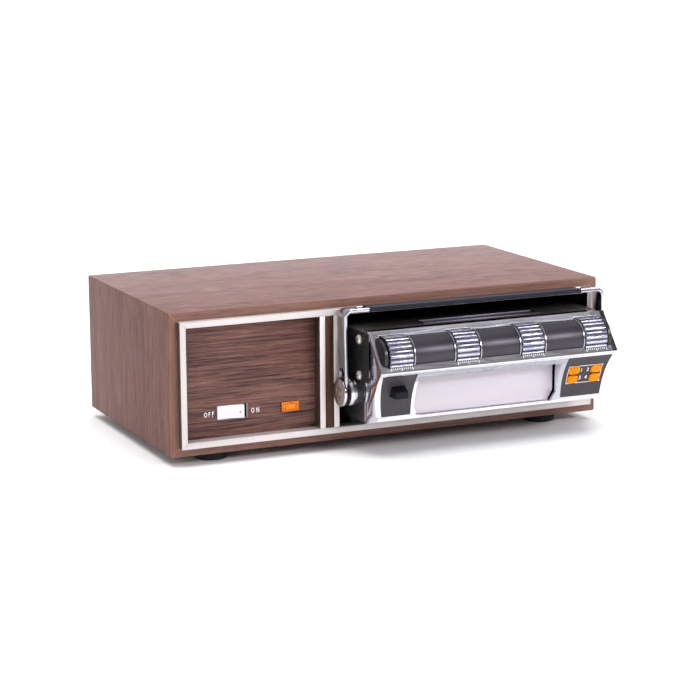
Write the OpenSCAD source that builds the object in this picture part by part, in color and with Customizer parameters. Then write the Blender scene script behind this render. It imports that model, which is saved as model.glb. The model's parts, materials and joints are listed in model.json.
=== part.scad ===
// Eight-track tape player on its home docking cabinet.
// A walnut cabinet holds the mains supply and a lit control panel at the left, and at the right an open
// bay that a slide-out player plugs into. The player has four thumbwheels, a tape door and a carrying
// strap handle. Millimetres, Z up, X across the front, -Y towards the person listening.

/* [Cabinet] */
// Width of the cabinet
cab_w = 350; // [346:1:354]
// Depth of the cabinet
cab_d = 182; // [180:1:190]
// Height of the wooden box without its feet
cab_h = 105.5; // [105:0.5:107]
// Thickness of the wooden panels
wall = 6.4; // [6.2:0.1:6.4]
// Height of the rubber feet
foot_h = 7.5; // [5:0.5:10]
// Diameter of the rubber feet
foot_d = 25; // [18:1:26]

/* [Front trim] */
// Width of the aluminium trim seen from the front
trim_w = 4.5; // [4:0.1:4.6]
// How far the trim stands in front of the wood
trim_proud = 5.6; // [4:0.1:5.6]
// Sheet thickness of the trim
trim_t = 1.2; // [0.8:0.1:1.4]
// How far behind the front of the wood the control panel sits
fascia_y = 4.5; // [4.5:0.1:5]

/* [Player] */
// Distance from the cabinet's left side to the middle of the player
player_x = 236; // [235.8:0.1:236.2]
// Width of the steel chassis
chassis_w = 195.2; // [194:0.2:195.2]
// Sheet thickness of the chassis
sheet = 1.2; // [1:0.1:1.3]
// How far the front ridge of the player stands in front of the wood
ridge_out = 60; // [60:0.1:60.4]

/* [Thumbwheels] */
// Outside radius of a thumbwheel
wheel_r = 14.5; // [14:0.1:14.5]
// Width of a thumbwheel
wheel_w = 19; // [18:0.5:19]
// Number of ribs round a thumbwheel
wheel_ribs = 24; // [20:1:28]
// Distance between neighbouring thumbwheels
wheel_pitch = 53.7; // [53:0.1:53.8]
// Outside radius of the half-round pads between the thumbwheels
pad_r = 13.2; // [12.8:0.1:13.3]

/* [Tape door] */
// Width of the tape door
door_w = 117.4; // [114:0.2:117.4]
// Thickness of the tape door
door_t = 1.4; // [1:0.1:1.5]

/* [Handle] */
// Width of the strap
strap_w = 12.6; // [12:0.1:13]
// Thickness of the strap
strap_t = 2.5; // [2:0.1:2.5]
// Degrees that the handle leans back at rest
lean = 2.1; // [1.5:0.1:2.4]
// Diameter of the clamp knobs and bosses
knob_d = 20.7; // [19:0.1:20.7]

/* [Hidden] */
e = 0.01;
foot_x = 38; foot_y = 20;
// inside faces of the cabinet
ix0 = wall; ix1 = cab_w - wall; iz0 = wall; iz1 = cab_h - wall;
// edges of the opening inside the trim
ox0 = ix0 + trim_w; ox1 = ix1 - trim_w; oz0 = iz0 + trim_w; oz1 = iz1 - trim_w;
// divider between the control panel and the player's bay
dv0 = 114.5; dv1 = 118.8; dv2 = 125.6; dv3 = 129.9;
rear_y = 170;
// player
hw = chassis_w / 2;
px0 = player_x - hw; px1 = player_x + hw;
pz0 = 17.9; pz1 = 85.5; py0 = -31; py1 = 108;
// the side plates reach further forward above this height
ear_y = -38.8; ear_z = 49;
// bezel side view, (y, z)
lip = [-38.3, 86.7]; ridge = [-ridge_out, 60];
arc_a = [-58.6, 58.4]; arc_b = [-47.95, 41.15]; arc_c = [-44.4, 23.9];
function det(a, b, c) = (b.x - a.x) * (c.y - a.y) - (b.y - a.y) * (c.x - a.x);
function sq(p) = p.x * p.x + p.y * p.y;
// centre of the circle through three points
function centre(a, b, c) = let (d = 2 * (a.x * (b.y - c.y) + b.x * (c.y - a.y) + c.x * (a.y - b.y)))
  [(sq(a) * (b.y - c.y) + sq(b) * (c.y - a.y) + sq(c) * (a.y - b.y)) / d,
   (sq(a) * (c.x - b.x) + sq(b) * (a.x - c.x) + sq(c) * (b.x - a.x)) / d];
arc_o = centre(arc_a, arc_b, arc_c);
arc_r = norm(arc_a - arc_o);
slope_len = norm(ridge - lip);
slope_a = atan2(lip.y - ridge.y, lip.x - ridge.x);
// thumbwheel axis
wy = -44.3; wz = 69.3;
wheel_x = [for (i = [-1.5, -0.5, 0.5, 1.5]) player_x + i * wheel_pitch];
bay_hw = 93.8;
// tape door
door_x0 = player_x - 5.5 - door_w / 2; door_x1 = door_x0 + door_w;
door_y = -41.3; door_z0 = 22.8; door_z1 = 52.6;
hinge_y = -37.3; hinge_z = 50.4; hinge_r = 1.2;
tun_x0 = door_x0 - 0.5; tun_x1 = door_x1 + 0.5; tun_z0 = 22.2; tun_z1 = 53;
// lenses for the four programs: centres and size on the right inlay
lens_c = [[302.5, 45.45], [321.6, 45.45], [302.5, 38.05], [321.6, 38.05]];
lens_w = 9.4; lens_h = 6.5; lens_cut = 1.5;
// program button
btn_x0 = 151.2; btn_w = 10.4; btn_z0 = 39.5; btn_h = 8; btn_y = -56.5;
// handle
hy = -16.4; hz = 39.3;
slot_r = 3.85; slot_top = 53.6;
hx0 = player_x - 109; hx1 = player_x + 109; h_top = 100.7;
// tape drive
fly = [195, 62]; fly_r = 35; mot = [290, 80]; pul_r = 6; fly_z0 = 52; fly_z1 = 64;
$fn = 48;

module place() { translate([-cab_w / 2, -(cab_d - ridge_out) / 2, foot_h]) children(); }
module slab(x0, x1, y0, y1, z0, z1) { translate([x0, y0, z0]) cube([x1 - x0, y1 - y0, z1 - z0]); }
// side-view outline drawn in (y, z), drawn out along X
module alongx(x0, x1) { translate([x0, 0, 0]) rotate([90, 0, 90]) linear_extrude(x1 - x0) children(); }
// front-view outline drawn in (x, z), drawn out along Y
module alongy(y0, y1) { translate([0, y1, 0]) rotate([90, 0, 0]) linear_extrude(y1 - y0) children(); }
module xrod(x0, x1, y, z, r) { translate([x0, y, z]) rotate([0, 90, 0]) cylinder(r = r, h = x1 - x0); }
module yrod(y0, y1, x, z, r) { translate([x, y0, z]) rotate([-90, 0, 0]) cylinder(r = r, h = y1 - y0); }
module zrod(z0, z1, x, y, r) { translate([x, y, z0]) cylinder(r = r, h = z1 - z0); }
// mirrored pair about the middle of the player
module both() { children(); translate([2 * player_x, 0, 0]) mirror([1, 0, 0]) children(); }

// ---------------------------------------------------------------- cabinet
module top_panel() { color("rosybrown") place() alongy(0, cab_d)
  polygon([[0, cab_h], [cab_w, cab_h], [ix1, iz1], [ix0, iz1]]); }

module bottom_panel() { color("rosybrown") place() difference() {
  alongy(0, cab_d) polygon([[0, 0], [cab_w, 0], [ix1, iz0], [ix0, iz0]]);
  for (x = [foot_x, cab_w - foot_x], y = [foot_y, cab_d - foot_y]) zrod(-1, 3.2, x, y, 1.5);
  for (i = [0 : 5]) slab(26 + 8 * i, 29 + 8 * i, 92, 148, -1, wall + 1);
} }

module left_side_panel() { color("rosybrown") place() alongy(0, cab_d)
  polygon([[0, 0], [ix0, iz0], [ix0, iz1], [0, cab_h]]); }

module right_side_panel() { color("rosybrown") place() alongy(0, cab_d)
  polygon([[cab_w, 0], [ix1, iz0], [ix1, iz1], [cab_w, cab_h]]); }

jack_x = [140, 158, 190, 208];
module rear_panel() { color("saddlebrown") place() difference() {
  slab(ix0, ix1, rear_y, rear_y + 3, iz0, iz1);
  for (x = jack_x) yrod(rear_y - 1, rear_y + 4, x, 30, 3.2);
  yrod(rear_y - 1, rear_y + 4, 40, 22, 6);
  for (i = [0 : 9]) slab(40 + 9 * i, 43 + 9 * i, rear_y - 1, rear_y + 4, 55, 85);
  for (i = [0 : 9]) slab(230 + 9 * i, 233 + 9 * i, rear_y - 1, rear_y + 4, 55, 85);
  for (x = [13, cab_w - 13], z = [13, cab_h - 13]) yrod(rear_y - 1, rear_y + 4, x, z, 1.6);
} }

// glue blocks in the corners that the rear panel screws into
module corner_blocks() { color("burlywood") place() difference() {
  for (x = [ix0, ix1 - 13], z = [iz0, iz1 - 13]) slab(x, x + 13, rear_y - 22, rear_y, z, z + 13);
  for (x = [13, cab_w - 13], z = [13, cab_h - 13]) yrod(rear_y - 14, rear_y + 1, x, z, 1.6);
} }

module trim_section() { union() {
  alongy(-trim_proud, -trim_proud + trim_t) difference() {
    polygon([[ix0, iz0], [ix1, iz0], [ix1, iz1], [ix0, iz1]]);
    polygon([[ox0, oz0], [ox1, oz0], [ox1, oz1], [ox0, oz1]]);
  }
  alongy(-trim_proud, 6) difference() {
    polygon([[ix0, iz0], [ix1, iz0], [ix1, iz1], [ix0, iz1]]);
    polygon([[ix0 + trim_t, iz0 + trim_t], [ix1 - trim_t, iz0 + trim_t], [ix1 - trim_t, iz1 - trim_t], [ix0 + trim_t, iz1 - trim_t]]);
  }
  alongy(-trim_proud, fascia_y) difference() {
    polygon([[ox0 - trim_t, oz0 - trim_t], [ox1 + trim_t, oz0 - trim_t], [ox1 + trim_t, oz1 + trim_t], [ox0 - trim_t, oz1 + trim_t]]);
    polygon([[ox0, oz0], [ox1, oz0], [ox1, oz1], [ox0, oz1]]);
  }
} }
module trim_side(pts) { color("gainsboro") place() intersection() { trim_section(); alongy(-20, 20) polygon(pts); } }
m = trim_w + 3;
module trim_top() { trim_side([[ix0, iz1], [ix1, iz1], [ix1 - m, iz1 - m], [ix0 + m, iz1 - m]]); }
module trim_bottom() { trim_side([[ix0, iz0], [ix1, iz0], [ix1 - m, iz0 + m], [ix0 + m, iz0 + m]]); }
module trim_sides() {
  trim_side([[ix0, iz0], [ix0 + m, iz0 + m], [ix0 + m, iz1 - m], [ix0, iz1]]);
  trim_side([[ix1, iz0], [ix1 - m, iz0 + m], [ix1 - m, iz1 - m], [ix1, iz1]]);
}

module divider_trim() { color("gainsboro") place() {
  slab(dv0, dv1, -trim_proud, -trim_proud + trim_t, oz0, oz1);
  slab(dv0, dv0 + trim_t, -trim_proud, fascia_y, oz0, oz1);
  slab(dv2, dv3, -trim_proud, -trim_proud + trim_t, oz0, oz1);
  slab(dv3 - trim_t, dv3, -trim_proud, fascia_y, oz0, oz1);
} }

module divider_board() { color("sienna") place() union() {
  slab(dv1, dv2, -trim_proud + 1, 7, oz0, oz1);
  slab(dv1, dv2, 7, rear_y, iz0, iz1);
} }

module control_panel() { color("sienna") place() difference() {
  slab(ix0 + trim_t, dv1, fascia_y, fascia_y + 2.5, iz0 + trim_t, iz1 - trim_t);
  slab(36.9, 61.2, 0, 10, 23.2, 34.1);
  slab(88.4, 100.6, 0, 10, 25.1, 31.0);
} }

// ---------------------------------------------------------------- power switch and pilot lamp
rk_x = 48.22; rk_y = 9; rk_tilt = 7;
module rocker_housing() { color("dimgray") place() difference() {
  union() {
    slab(36.9, 61.2, fascia_y - 0.3, 12, 23.2, 34.1);
    slab(34.9, 63.2, fascia_y + 2.5, 20, 21.2, 36.1);
    for (x = [39.2, 48.2, 57.2]) slab(x - 2.4, x + 2.4, 19, 28, 28.3, 29.1);
  }
  slab(37.2, 60.0, 0, 18, 23.5, 33.8);
  zrod(22.4, 35.1, rk_x, rk_y, 1.06);
} }

module power_rocker() { color("white") place() translate([rk_x, rk_y, 0]) rotate([0, 0, -rk_tilt]) union() {
  translate([0, 0, 23.75]) linear_extrude(9.8)
    polygon([[-10.075, -6.3], [0, -4.9], [10.075, -6.3], [9.8, -1], [3, 3.5], [-3, 3.5], [-9.8, -1]]);
  translate([0, 0, 22.6]) cylinder(r = 1, h = 12.3);
} }

module pilot_lens() { color("darkorange") place() union() {
  slab(87.5, 101.4, fascia_y - 1.2, fascia_y, 24.5, 31.8);
  slab(90.6, 98.3, fascia_y - 2, fascia_y, 26.2, 30.1);
  slab(88.4, 100.6, fascia_y, fascia_y + 9, 25.1, 31.0);
} }

// ---------------------------------------------------------------- the player's bay
module dock_shell() { color("black") place() difference() {
  union() {
    difference() {
      slab(127.6, 341.6, fascia_y, 120, 8.6, 97);
      slab(127.6 + sheet, 341.6 - sheet, fascia_y - 1, 120 - sheet, 8.6 + sheet, 97 - sheet);
    }
    for (x = [144, 320]) slab(x, x + 8, fascia_y + 1, 119, 9.5, pz0 - 0.1);
    for (x = [150, 310], y = [20, 100]) slab(x, x + 14, y, y + 10, iz0, 9);
  }
  slab(204, 268, 110, 122, 40, 60);
  for (i = [0 : 5]) slab(126, 130, 30 + 12 * i, 34 + 12 * i, 40, 75);
} }

module dock_connector() { color("beige") place() difference() {
  union() {
    slab(204, 268, 110.5, 126, 40, 60);
    slab(199, 273, 120, 121.5, 37, 63);
    for (i = [0 : 7]) slab(211 + 7 * i, 213.5 + 7 * i, 125, 132, 49.6, 50.4);
  }
  slab(209, 263, 109, 118.5, 44.5, 55.5);
} }

module rubber_feet() { color("black") place() for (x = [foot_x, cab_w - foot_x], y = [foot_y, cab_d - foot_y]) translate([x, y, -foot_h])
  difference() { rotate_extrude($fn = 64) polygon([[0, 0], [foot_d / 2 - 1.5, 0], [foot_d / 2 - 0.4, 0.8], [foot_d / 2, foot_h], [0, foot_h]]);
    translate([0, 0, -1]) cylinder(r = 4.2, h = 6.3); translate([0, 0, -1]) cylinder(r = 1.5, h = foot_h + 2); } }

module cabinet_screws() { color("silver") place() {
  for (x = [foot_x, cab_w - foot_x], y = [foot_y, cab_d - foot_y]) { zrod(-foot_h + 3.5, 3, x, y, 1.5); zrod(-foot_h + 3.5, -foot_h + 5.3, x, y, 3.4); }
  for (x = [13, cab_w - 13], z = [13, cab_h - 13]) { yrod(rear_y - 13, rear_y + 4, x, z, 1.6); yrod(rear_y + 3, rear_y + 5.2, x, z, 3.4); }
} }

// ---------------------------------------------------------------- mains supply behind the control panel
module power_transformer() { color("slategray") place() union() {
  slab(22, 70, 108, 136, iz0 + 2, iz0 + 44);
  slab(30, 62, 98, 146, iz0 + 9, iz0 + 37);
  difference() { slab(12, 80, 112, 132, iz0, iz0 + 2);
    for (x = [16.5, 75.5]) zrod(0, 20, x, 122, 2.2); }
  slab(20.8, 71.2, 112, 132, iz0, iz0 + 45.2);
} }

module power_board() { color("peru") place() union() {
  slab(84, 114, 40, 150, iz0 + 6, iz0 + 7.6);
  for (x = [88, 110], y = [44, 146]) zrod(iz0, iz0 + 6, x, y, 2.5);
  for (i = [0 : 3]) slab(90, 95, 112 + 7 * i, 114.6 + 7 * i, iz0 + 7.6, iz0 + 14);
} }

module filter_capacitors() { color("steelblue") place() for (y = [58, 90]) translate([99, y, iz0 + 7.6])
  rotate_extrude() polygon([[0, 0], [12, 0], [12, 2], [12.5, 2.6], [12.5, 38], [11.6, 39], [0, 39]]); }

module audio_jacks() { color("silver") place() difference() {
  union() {
    slab(130, 218, rear_y - 1.6, rear_y, 22, 38);
    for (x = jack_x) { yrod(rear_y - 6, rear_y + 5, x, 30, 3.2); yrod(rear_y + 3, rear_y + 4.5, x, 30, 5.4); yrod(rear_y + 4, rear_y + 12, x, 30, 4.15); }
  }
  for (x = jack_x) yrod(rear_y + 1, rear_y + 13, x, 30, 1.6);
} }

module cord_grommet() { color("black") place() translate([40, rear_y - 1.6, 22]) rotate([-90, 0, 0]) rotate_extrude()
  polygon([[3.7, 0], [8, 0], [8, 1.6], [6, 1.6], [6, 4.6], [8, 4.6], [8, 6.4], [7.2, 7.2], [3.7, 7.2]]); }

// ---------------------------------------------------------------- the player's steel case
screw_z = [52.3, 78.9]; screw_y = -22.5;
module chassis_tray() { color("dimgray") place() difference() {
  union() {
    difference() { slab(px0, px1, py0, py1, pz0, pz1 - sheet);
      slab(px0 + sheet, px1 - sheet, py0 - 1, py1 - sheet, pz0 + sheet, pz1); }
    both() slab(px0, px0 + sheet, ear_y, py0 + 1, ear_z, pz1 - sheet);
    // tabs that the top cover is screwed to
    both() slab(px0 + sheet - e, px0 + 13, 93, 103, pz1 - 2 * sheet, pz1 - sheet);
  }
  both() zrod(pz1 - 4, pz1, px0 + 8, 98, 1.5);
  both() for (z = screw_z) xrod(px0 - 1, px0 + 3, screw_y, z, 1.6);
  both() xrod(px0 - 1, px0 + 3, hy, hz, 3.76);
  slab(209.5, 262.5, 104, 112, 45, 55);
  for (i = [0 : 6]) slab(146 + 6 * i, 149 + 6 * i, 104, 112, 60, 76);
} }

module top_cover() { color("dimgray") place() union() {
  difference() {
    slab(px0, px1, py0, py1, pz1 - sheet, pz1);
    slab(192.5, 287, -19.6, -9.5, pz1 - 0.4, pz1 + 1);
    for (x = [px0 + 8, px1 - 8]) zrod(pz1 - 3, pz1 + 1, x, 98, 1.5);
    for (i = [0 : 9]) slab(190 + 9 * i, 194 + 9 * i, 50, 90, pz1 - 3, pz1 + 1);
  }
  difference() { slab(191, 288.5, -21, -8, pz1 - 0.4, pz1 + 0.6); slab(192.5, 287, -19.6, -9.5, pz1 - 1, pz1 + 2); }
} }

// ---------------------------------------------------------------- die-cast bezel
module face_circle(grow, z0, z1) { intersection() { translate(arc_o) circle(r = arc_r + grow, $fn = 180);
  translate([-130, z0]) square([130, z1 - z0]); } }
module bezel_outer() { intersection() {
  alongx(player_x - 100, player_x + 100) difference() {
    polygon([[py0, 17.4], [py0, lip.y], lip, ridge, [-ridge_out, 59.2], arc_a, arc_c, [-45, 23.6], [-45.4, 22.9], [-44.9, 21.3]]);
    face_circle(0, 23.9, 58.4);
  }
  front_outline(97.7, 97.7);
  // lower corner of each side drawn in towards the front
  union() { side_half(); translate([2 * player_x, 0, 0]) mirror([1, 0, 0]) side_half(); }
} }
// half-space inside the oblique plane through three corners of the left side
side_a = [player_x - 97.7, py0, 20]; side_b = [player_x - 97.7, -ridge_out, 60.5]; side_c = [142.3, -45.2, 22];
side_n = cross(side_c - side_a, side_b - side_a);
module side_half() { intersection() {
  translate(side_a) rotate([0, acos(side_n.z / norm(side_n)), atan2(side_n.y, side_n.x)]) translate([-300, -300, side_n.x > 0 ? 0 : -300]) cube([600, 600, 300]);
  slab(player_x - 120, player_x + 0.5, -90, 20, 0, 120); } }
module front_outline(w_top, w_bot) { alongy(-70, 0)
  polygon([[player_x - w_top, 95], [player_x - w_top, 60], [player_x - w_bot, 16.9], [player_x - w_bot, 10],
           [player_x + w_bot, 10], [player_x + w_bot, 16.9], [player_x + w_top, 60], [player_x + w_top, 95]]); }
module bezel_inner() { intersection() {
  alongx(player_x - 100, player_x + 100) difference() {
    polygon([[py0 + 2, 18.9], [py0 + 2, 84.9], [-37.2, 84.9], [-56.7, 60.8], [-56.7, 58.5], [-42.4, 26], [-42.4, 22.7]]);
    face_circle(2, 20, 60);
  }
  front_outline(95.3, 91.3);
} }
// box laid on the sloping upper face: s along the slope down from the lip, n out of the face
module on_slope(x0, x1, s0, s1, n0, n1) { translate([x0, lip.x, lip.y]) rotate([slope_a, 0, 0])
  translate([0, -s1, n0]) cube([x1 - x0, s1 - s0, n1 - n0]); }
function side_outline(left) = left ? [[141.0, 57.0], [168.7, 57.0], [168.7, 24.6], [145.2, 24.6]]
  : [[293.6, 57.0], [331.2, 57.0], [327.6, 24.6], [293.6, 24.6]];
// the opening has a sill in front of the door's lower edge
module tunnel_hole() { intersection() {
  alongy(-65, -38) polygon([[tun_x0 + 5, tun_z0], [tun_x1 - 5, tun_z0], [tun_x1, tun_z0 + 7.2], [tun_x1, tun_z1], [tun_x0, tun_z1], [tun_x0, tun_z0 + 7.2]]);
  union() { slab(100, 400, -66, -37, 23.2, 60); slab(100, 400, -41.6, -37, 20, 24); }
} }
module bezel() { color("lightgray") place() difference() {
  union() {
    difference() { bezel_outer(); bezel_inner();
      on_slope(player_x - bay_hw, player_x + bay_hw, 5.2, 29.2, -3.2, 5); }
    // walls round the tape door, and posts for the lamp board
    intersection() { bezel_outer(); union() {
      slab(tun_x0 - 1.5, tun_x1 + 1.5, -62, -38.5, 20.6, tun_z1 + 1);
      for (x = [tun_x0 - 2.8, tun_x1]) slab(x, x + 2.8, -40.5, -33.6, hinge_z - 4, hinge_z + 2.4);
      for (z = [32, 52]) yrod(-60, -38, 312.2, z, 1.5);
    } }
    // thin bright ribs at the ends of the pads
    intersection() { for (i = [0 : 2], s = [0, 1]) ring(rib_x(i, s), rib_x(i, s) + 0.9, 14, 11.4);
      on_slope(100, 400, 0, slope_len, -3.2, 20); }
    // lugs that the side screws hold
    both() slab(px0 + sheet, px0 + 6.4, -34, -18, 46, 84.2);
  }
  tunnel_hole();
  for (x = wheel_x) xrod(x - wheel_w / 2 - 0.5, x + wheel_w / 2 + 0.5, wy, wz, wheel_r + 0.5);
  for (s = [0, 1]) intersection() { alongx(100, 400) difference() { face_circle(1.2, 24.6, 57); face_circle(-9, 20, 60); }
    alongy(-70, -30) polygon(side_outline(s == 0)); }
  for (c = lens_c) lens_block(c, 0.1, -62, -36);
  slab(btn_x0 - 0.3, btn_x0 + btn_w + 0.3, -62, -36, btn_z0 - 0.3, btn_z0 + btn_h + 0.3);
  both() for (z = screw_z) xrod(px0 - 1, px0 + 5.4, screw_y, z, 1.6);
  both() slab(px0 - 1, px0 + sheet, ear_y, -20, ear_z, pz1 - sheet);
  both() slab(px0 - 1, px0 + sheet, py0, -10, 0, 100);
  xrod(tun_x0 - 1.4, tun_x1 + 1.4, hinge_y, hinge_z, hinge_r);
} }
function rib_x(i, s) = s == 0 ? wheel_x[i] + wheel_w / 2 + 0.6 : wheel_x[i + 1] - wheel_w / 2 - 1.5;
module ring(x0, x1, r1, r2) { difference() { xrod(x0, x1, wy, wz, r1); xrod(x0 - 1, x1 + 1, wy, wz, r2); } }

module bezel_inlays() { color("darkslategray") place() difference() {
  for (s = [0, 1]) intersection() { alongx(100, 400) difference() { face_circle(1.2, 24.7, 56.9); face_circle(0.2, 20, 60); }
    alongy(-70, -30) offset_in(side_outline(s == 0)); }
  for (c = lens_c) lens_block(c, 0.1, -62, -36);
  slab(btn_x0 - 0.3, btn_x0 + btn_w + 0.3, -62, -36, btn_z0 - 0.3, btn_z0 + btn_h + 0.3);
} }
// the inlay outline drawn 0.1 inside its recess
module offset_in(p) { polygon([for (q = p) [q.x + (q.x < (p[0].x + p[1].x) / 2 ? 0.1 : -0.1), q.y]]); }

// half-round pads between the thumbwheels, with an end piece at each side
module wheel_pads() { color("darkslategray") place() intersection() {
  union() {
    for (i = [0 : 2]) ring(rib_x(i, 0) + 0.9, rib_x(i, 1), pad_r, 11.4);
    both() ring(player_x - bay_hw, wheel_x[0] - wheel_w / 2 - 0.8, pad_r, 9.4);
    both() ring(player_x - bay_hw, player_x - bay_hw + 1.4, pad_r, 3.2);
  }
  on_slope(100, 400, 5.35, 29.05, -3, 20);
} }

module thumbwheel(x) { color("gainsboro") place() translate([x - wheel_w / 2, wy, wz]) rotate([90, 0, 90]) difference() {
  linear_extrude(wheel_w) difference() {
    circle(r = wheel_r, $fn = 96);
    for (i = [0 : wheel_ribs - 1]) rotate(i * 360 / wheel_ribs) translate([wheel_r + 0.35, 0]) circle(r = 1.15, $fn = 24);
    circle(r = 3.05, $fn = 48);
  }
  translate([0, 0, -1]) difference() { cylinder(r = 11.2, h = 2); translate([0, 0, -1]) cylinder(r = 5.2, h = 4); }
  translate([0, 0, wheel_w - 1]) difference() { cylinder(r = 11.2, h = 2); translate([0, 0, -1]) cylinder(r = 5.2, h = 4); }
} }
module volume_wheel() { thumbwheel(wheel_x[0]); }
module tone_wheel() { thumbwheel(wheel_x[1]); }
module balance_wheel() { thumbwheel(wheel_x[2]); }
module fade_wheel() { thumbwheel(wheel_x[3]); }

// the four rotary controls beside the wheels, on one board
module control_pots() { color("peru") place() union() {
  slab(148, 324, -27.5, -26, 60, 80);
  for (i = [0 : 3]) let (s = i == 3 ? -1 : 1, a = wheel_x[i] + s * (wheel_w / 2 + 1.8), b = wheel_x[i] + s * (wheel_w / 2 + 12)) {
    xrod(min(a, b), max(a, b), wy, wz, 8);
    xrod(min(a, wheel_x[i] - s * 8), max(a, wheel_x[i] - s * 8), wy, wz, 3);
    slab(min(a, b) + 1, max(a, b) - 1, wy + 4, -26.5, wz - 6, wz + 6);
  }
} }

// oblong block with its four corners cut off
module lens_block(c, grow, y0, y1) { w = lens_w / 2 + grow; h = lens_h / 2 + grow; k = lens_cut + 0.6 * grow;
  alongy(y0, y1) translate(c) polygon([[-w + k, -h], [w - k, -h], [w, -h + k], [w, h - k], [w - k, h], [-w + k, h], [-w, h - k], [-w, -h + k]]); }
module track_lenses() { color("orange") place() intersection() {
  for (c = lens_c) lens_block(c, 0, -62, -36);
  alongx(280, 340) difference() { face_circle(5, 20, 62); face_circle(-1.3, 15, 65); }
} }
module track_lamps() { color("peru") place() union() {
  slab(294, 326, -38, -36.5, 29, 55);
  for (c = lens_c) translate([c.x, -38.2, c.y]) rotate([90, 0, 0]) rotate_extrude() polygon([[0, 0], [2.6, 0], [2.6, 1], [2, 1.2], [2, 2], [1.2, 2.8], [0, 3]]);
} }

// ---------------------------------------------------------------- tape door
module tape_door() { color("whitesmoke") place() difference() {
  union() {
    alongy(door_y, door_y + door_t) polygon([[door_x0, door_z0 + 6.6], [door_x0 + 4.6, door_z0], [door_x1 - 4.6, door_z0],
      [door_x1, door_z0 + 6.6], [door_x1, door_z1], [door_x0, door_z1]]);
    for (x = [[door_x0 + 3, door_x0 + 13], [door_x1 - 13, door_x1 - 3], [door_x0 + 44, door_x1 - 44]]) union() {
      xrod(x[0], x[1], hinge_y, hinge_z, 2.4);
      slab(x[0], x[1], door_y + 0.4, hinge_y, hinge_z - 2.4, hinge_z + 1.4);
    }
  }
  xrod(door_x0 - 1, door_x1 + 1, hinge_y, hinge_z, hinge_r + 0.06);
} }
module door_hinge_pin() { color("silver") place() xrod(tun_x0 - 1.4, tun_x1 + 1.4, hinge_y, hinge_z, hinge_r); }

// closing spring: a coil round the hinge pin with one leg along the door
function coil(n, r, pitch) = [for (i = [0 : n]) [i * pitch / 12, r * cos(i * 30), r * sin(i * 30)]];
module door_spring() { color("silver") place() translate([door_x0 + 14, hinge_y, hinge_z]) {
  r = 1.9; w = 0.25; c = coil(96, r, 0.7); k = 6;
  pts = [for (i = [0 : len(c) - 1]) let (a = i * 30) for (j = [0 : k - 1]) let (b = j * 60)
    c[i] + w * cos(b) * [0, cos(a), sin(a)] + w * sin(b) * [1, 0, 0]];
  n = len(c);
  polyhedron(pts, concat([[for (j = [k - 1 : -1 : 0]) j]], [[for (j = [0 : k - 1]) (n - 1) * k + j]],
    [for (i = [0 : n - 2], j = [0 : k - 1]) [i * k + (j + 1) % k, (i + 1) * k + (j + 1) % k, (i + 1) * k + j, i * k + j]]), convexity = 6);
} }

module program_button() { color("black") place() union() {
  alongx(btn_x0, btn_x0 + btn_w) polygon([[btn_y, btn_z0], [btn_y, btn_z0 + 4.6], [-50, btn_z0 + btn_h], [-40, btn_z0 + btn_h], [-40, btn_z0]]);
  slab(btn_x0 - 1.5, btn_x0 + btn_w + 1.5, -42, -40, btn_z0 - 1.5, btn_z0 + btn_h + 1.5);
  yrod(-40.5, -30, btn_x0 + btn_w / 2, btn_z0 + btn_h / 2, 1.5);
} }

// ---------------------------------------------------------------- cartridge path
module cartridge_well() { color("silver") place() union() {
  slab(175, 285, -33.4, 56, 20.4, 21.8);
  for (x = [175, 283.6]) slab(x, x + 1.4, -5, 56, 20.4, 47.4);
  difference() { slab(175, 285, -5, 56, 46, 47.4); slab(200, 262, 8, 44, 45, 48); }
  for (x = [179, 277]) slab(x, x + 4, -28, 56, 19.1, 20.5);
} }

// ---------------------------------------------------------------- tape drive
module flywheel() { color("silver") place() translate([fly.x, fly.y, 0]) rotate_extrude($fn = 96)
  polygon([[0, 23], [2.4, 23], [2.4, 51.4], [9, 51.4], [9, 54], [26, 54], [26, fly_z0], [fly_r - 0.6, fly_z0], [fly_r, fly_z0 + 0.6],
    [fly_r, fly_z1 - 0.6], [fly_r - 0.6, fly_z1], [26, fly_z1], [26, 57.5], [8, 57.5], [8, fly_z1], [0, fly_z1]]); }

module bearing_plate() { color("lightsteelblue") place() difference() {
  union() {
    slab(150, 322, 22, 104, 48.6, 50);
    zrod(30, 51, fly.x, fly.y, 5);
    for (p = [[154, 26], [318, 26], [154, 100], [318, 100]]) zrod(pz0 + sheet, 49, p.x, p.y, 2.5);
    for (x = [222, 242]) zrod(pz0 + sheet, 49, x, 74, 2);
  }
  zrod(20, 60, fly.x, fly.y, 2.45);
  zrod(40, 60, mot.x, mot.y, 4);
  slab(200, 270, 28, 52, 40, 60);
} }

module motor() { color("silver") place() union() {
  zrod(22, 48.6, mot.x, mot.y, 16);
  zrod(19.1, 22.5, mot.x, mot.y, 10);
  zrod(48, 49.4, mot.x, mot.y, 3.9);
} }
module motor_pulley() { color("goldenrod") place() translate([mot.x, mot.y, 0]) rotate_extrude()
  polygon([[0, 49.6], [1.5, 49.6], [1.5, 52], [7.5, 52], [7.5, 53.4], [pul_r, 54], [pul_r, 62], [7.5, 62.6], [7.5, 64], [0, 64]]); }

// flat belt round the pulley and the flywheel
belt_t = atan2(mot.y - fly.y, mot.x - fly.x);
belt_q = acos((fly_r - pul_r) / norm(mot - fly));
function arc(c, r, a, b, n) = [for (i = [0 : n]) c + r * [cos(a + (b - a) * i / n), sin(a + (b - a) * i / n)]];
function belt_points(g) = concat(arc(fly, fly_r + g, belt_t + belt_q, belt_t + 360 - belt_q, 72),
  arc(mot, pul_r + g, belt_t - belt_q, belt_t + belt_q, 16));
module drive_belt() { color("black") place() translate([0, 0, 55.5]) linear_extrude(5)
  difference() { polygon(belt_points(1.2)); polygon(belt_points(0.15)); } }

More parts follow.
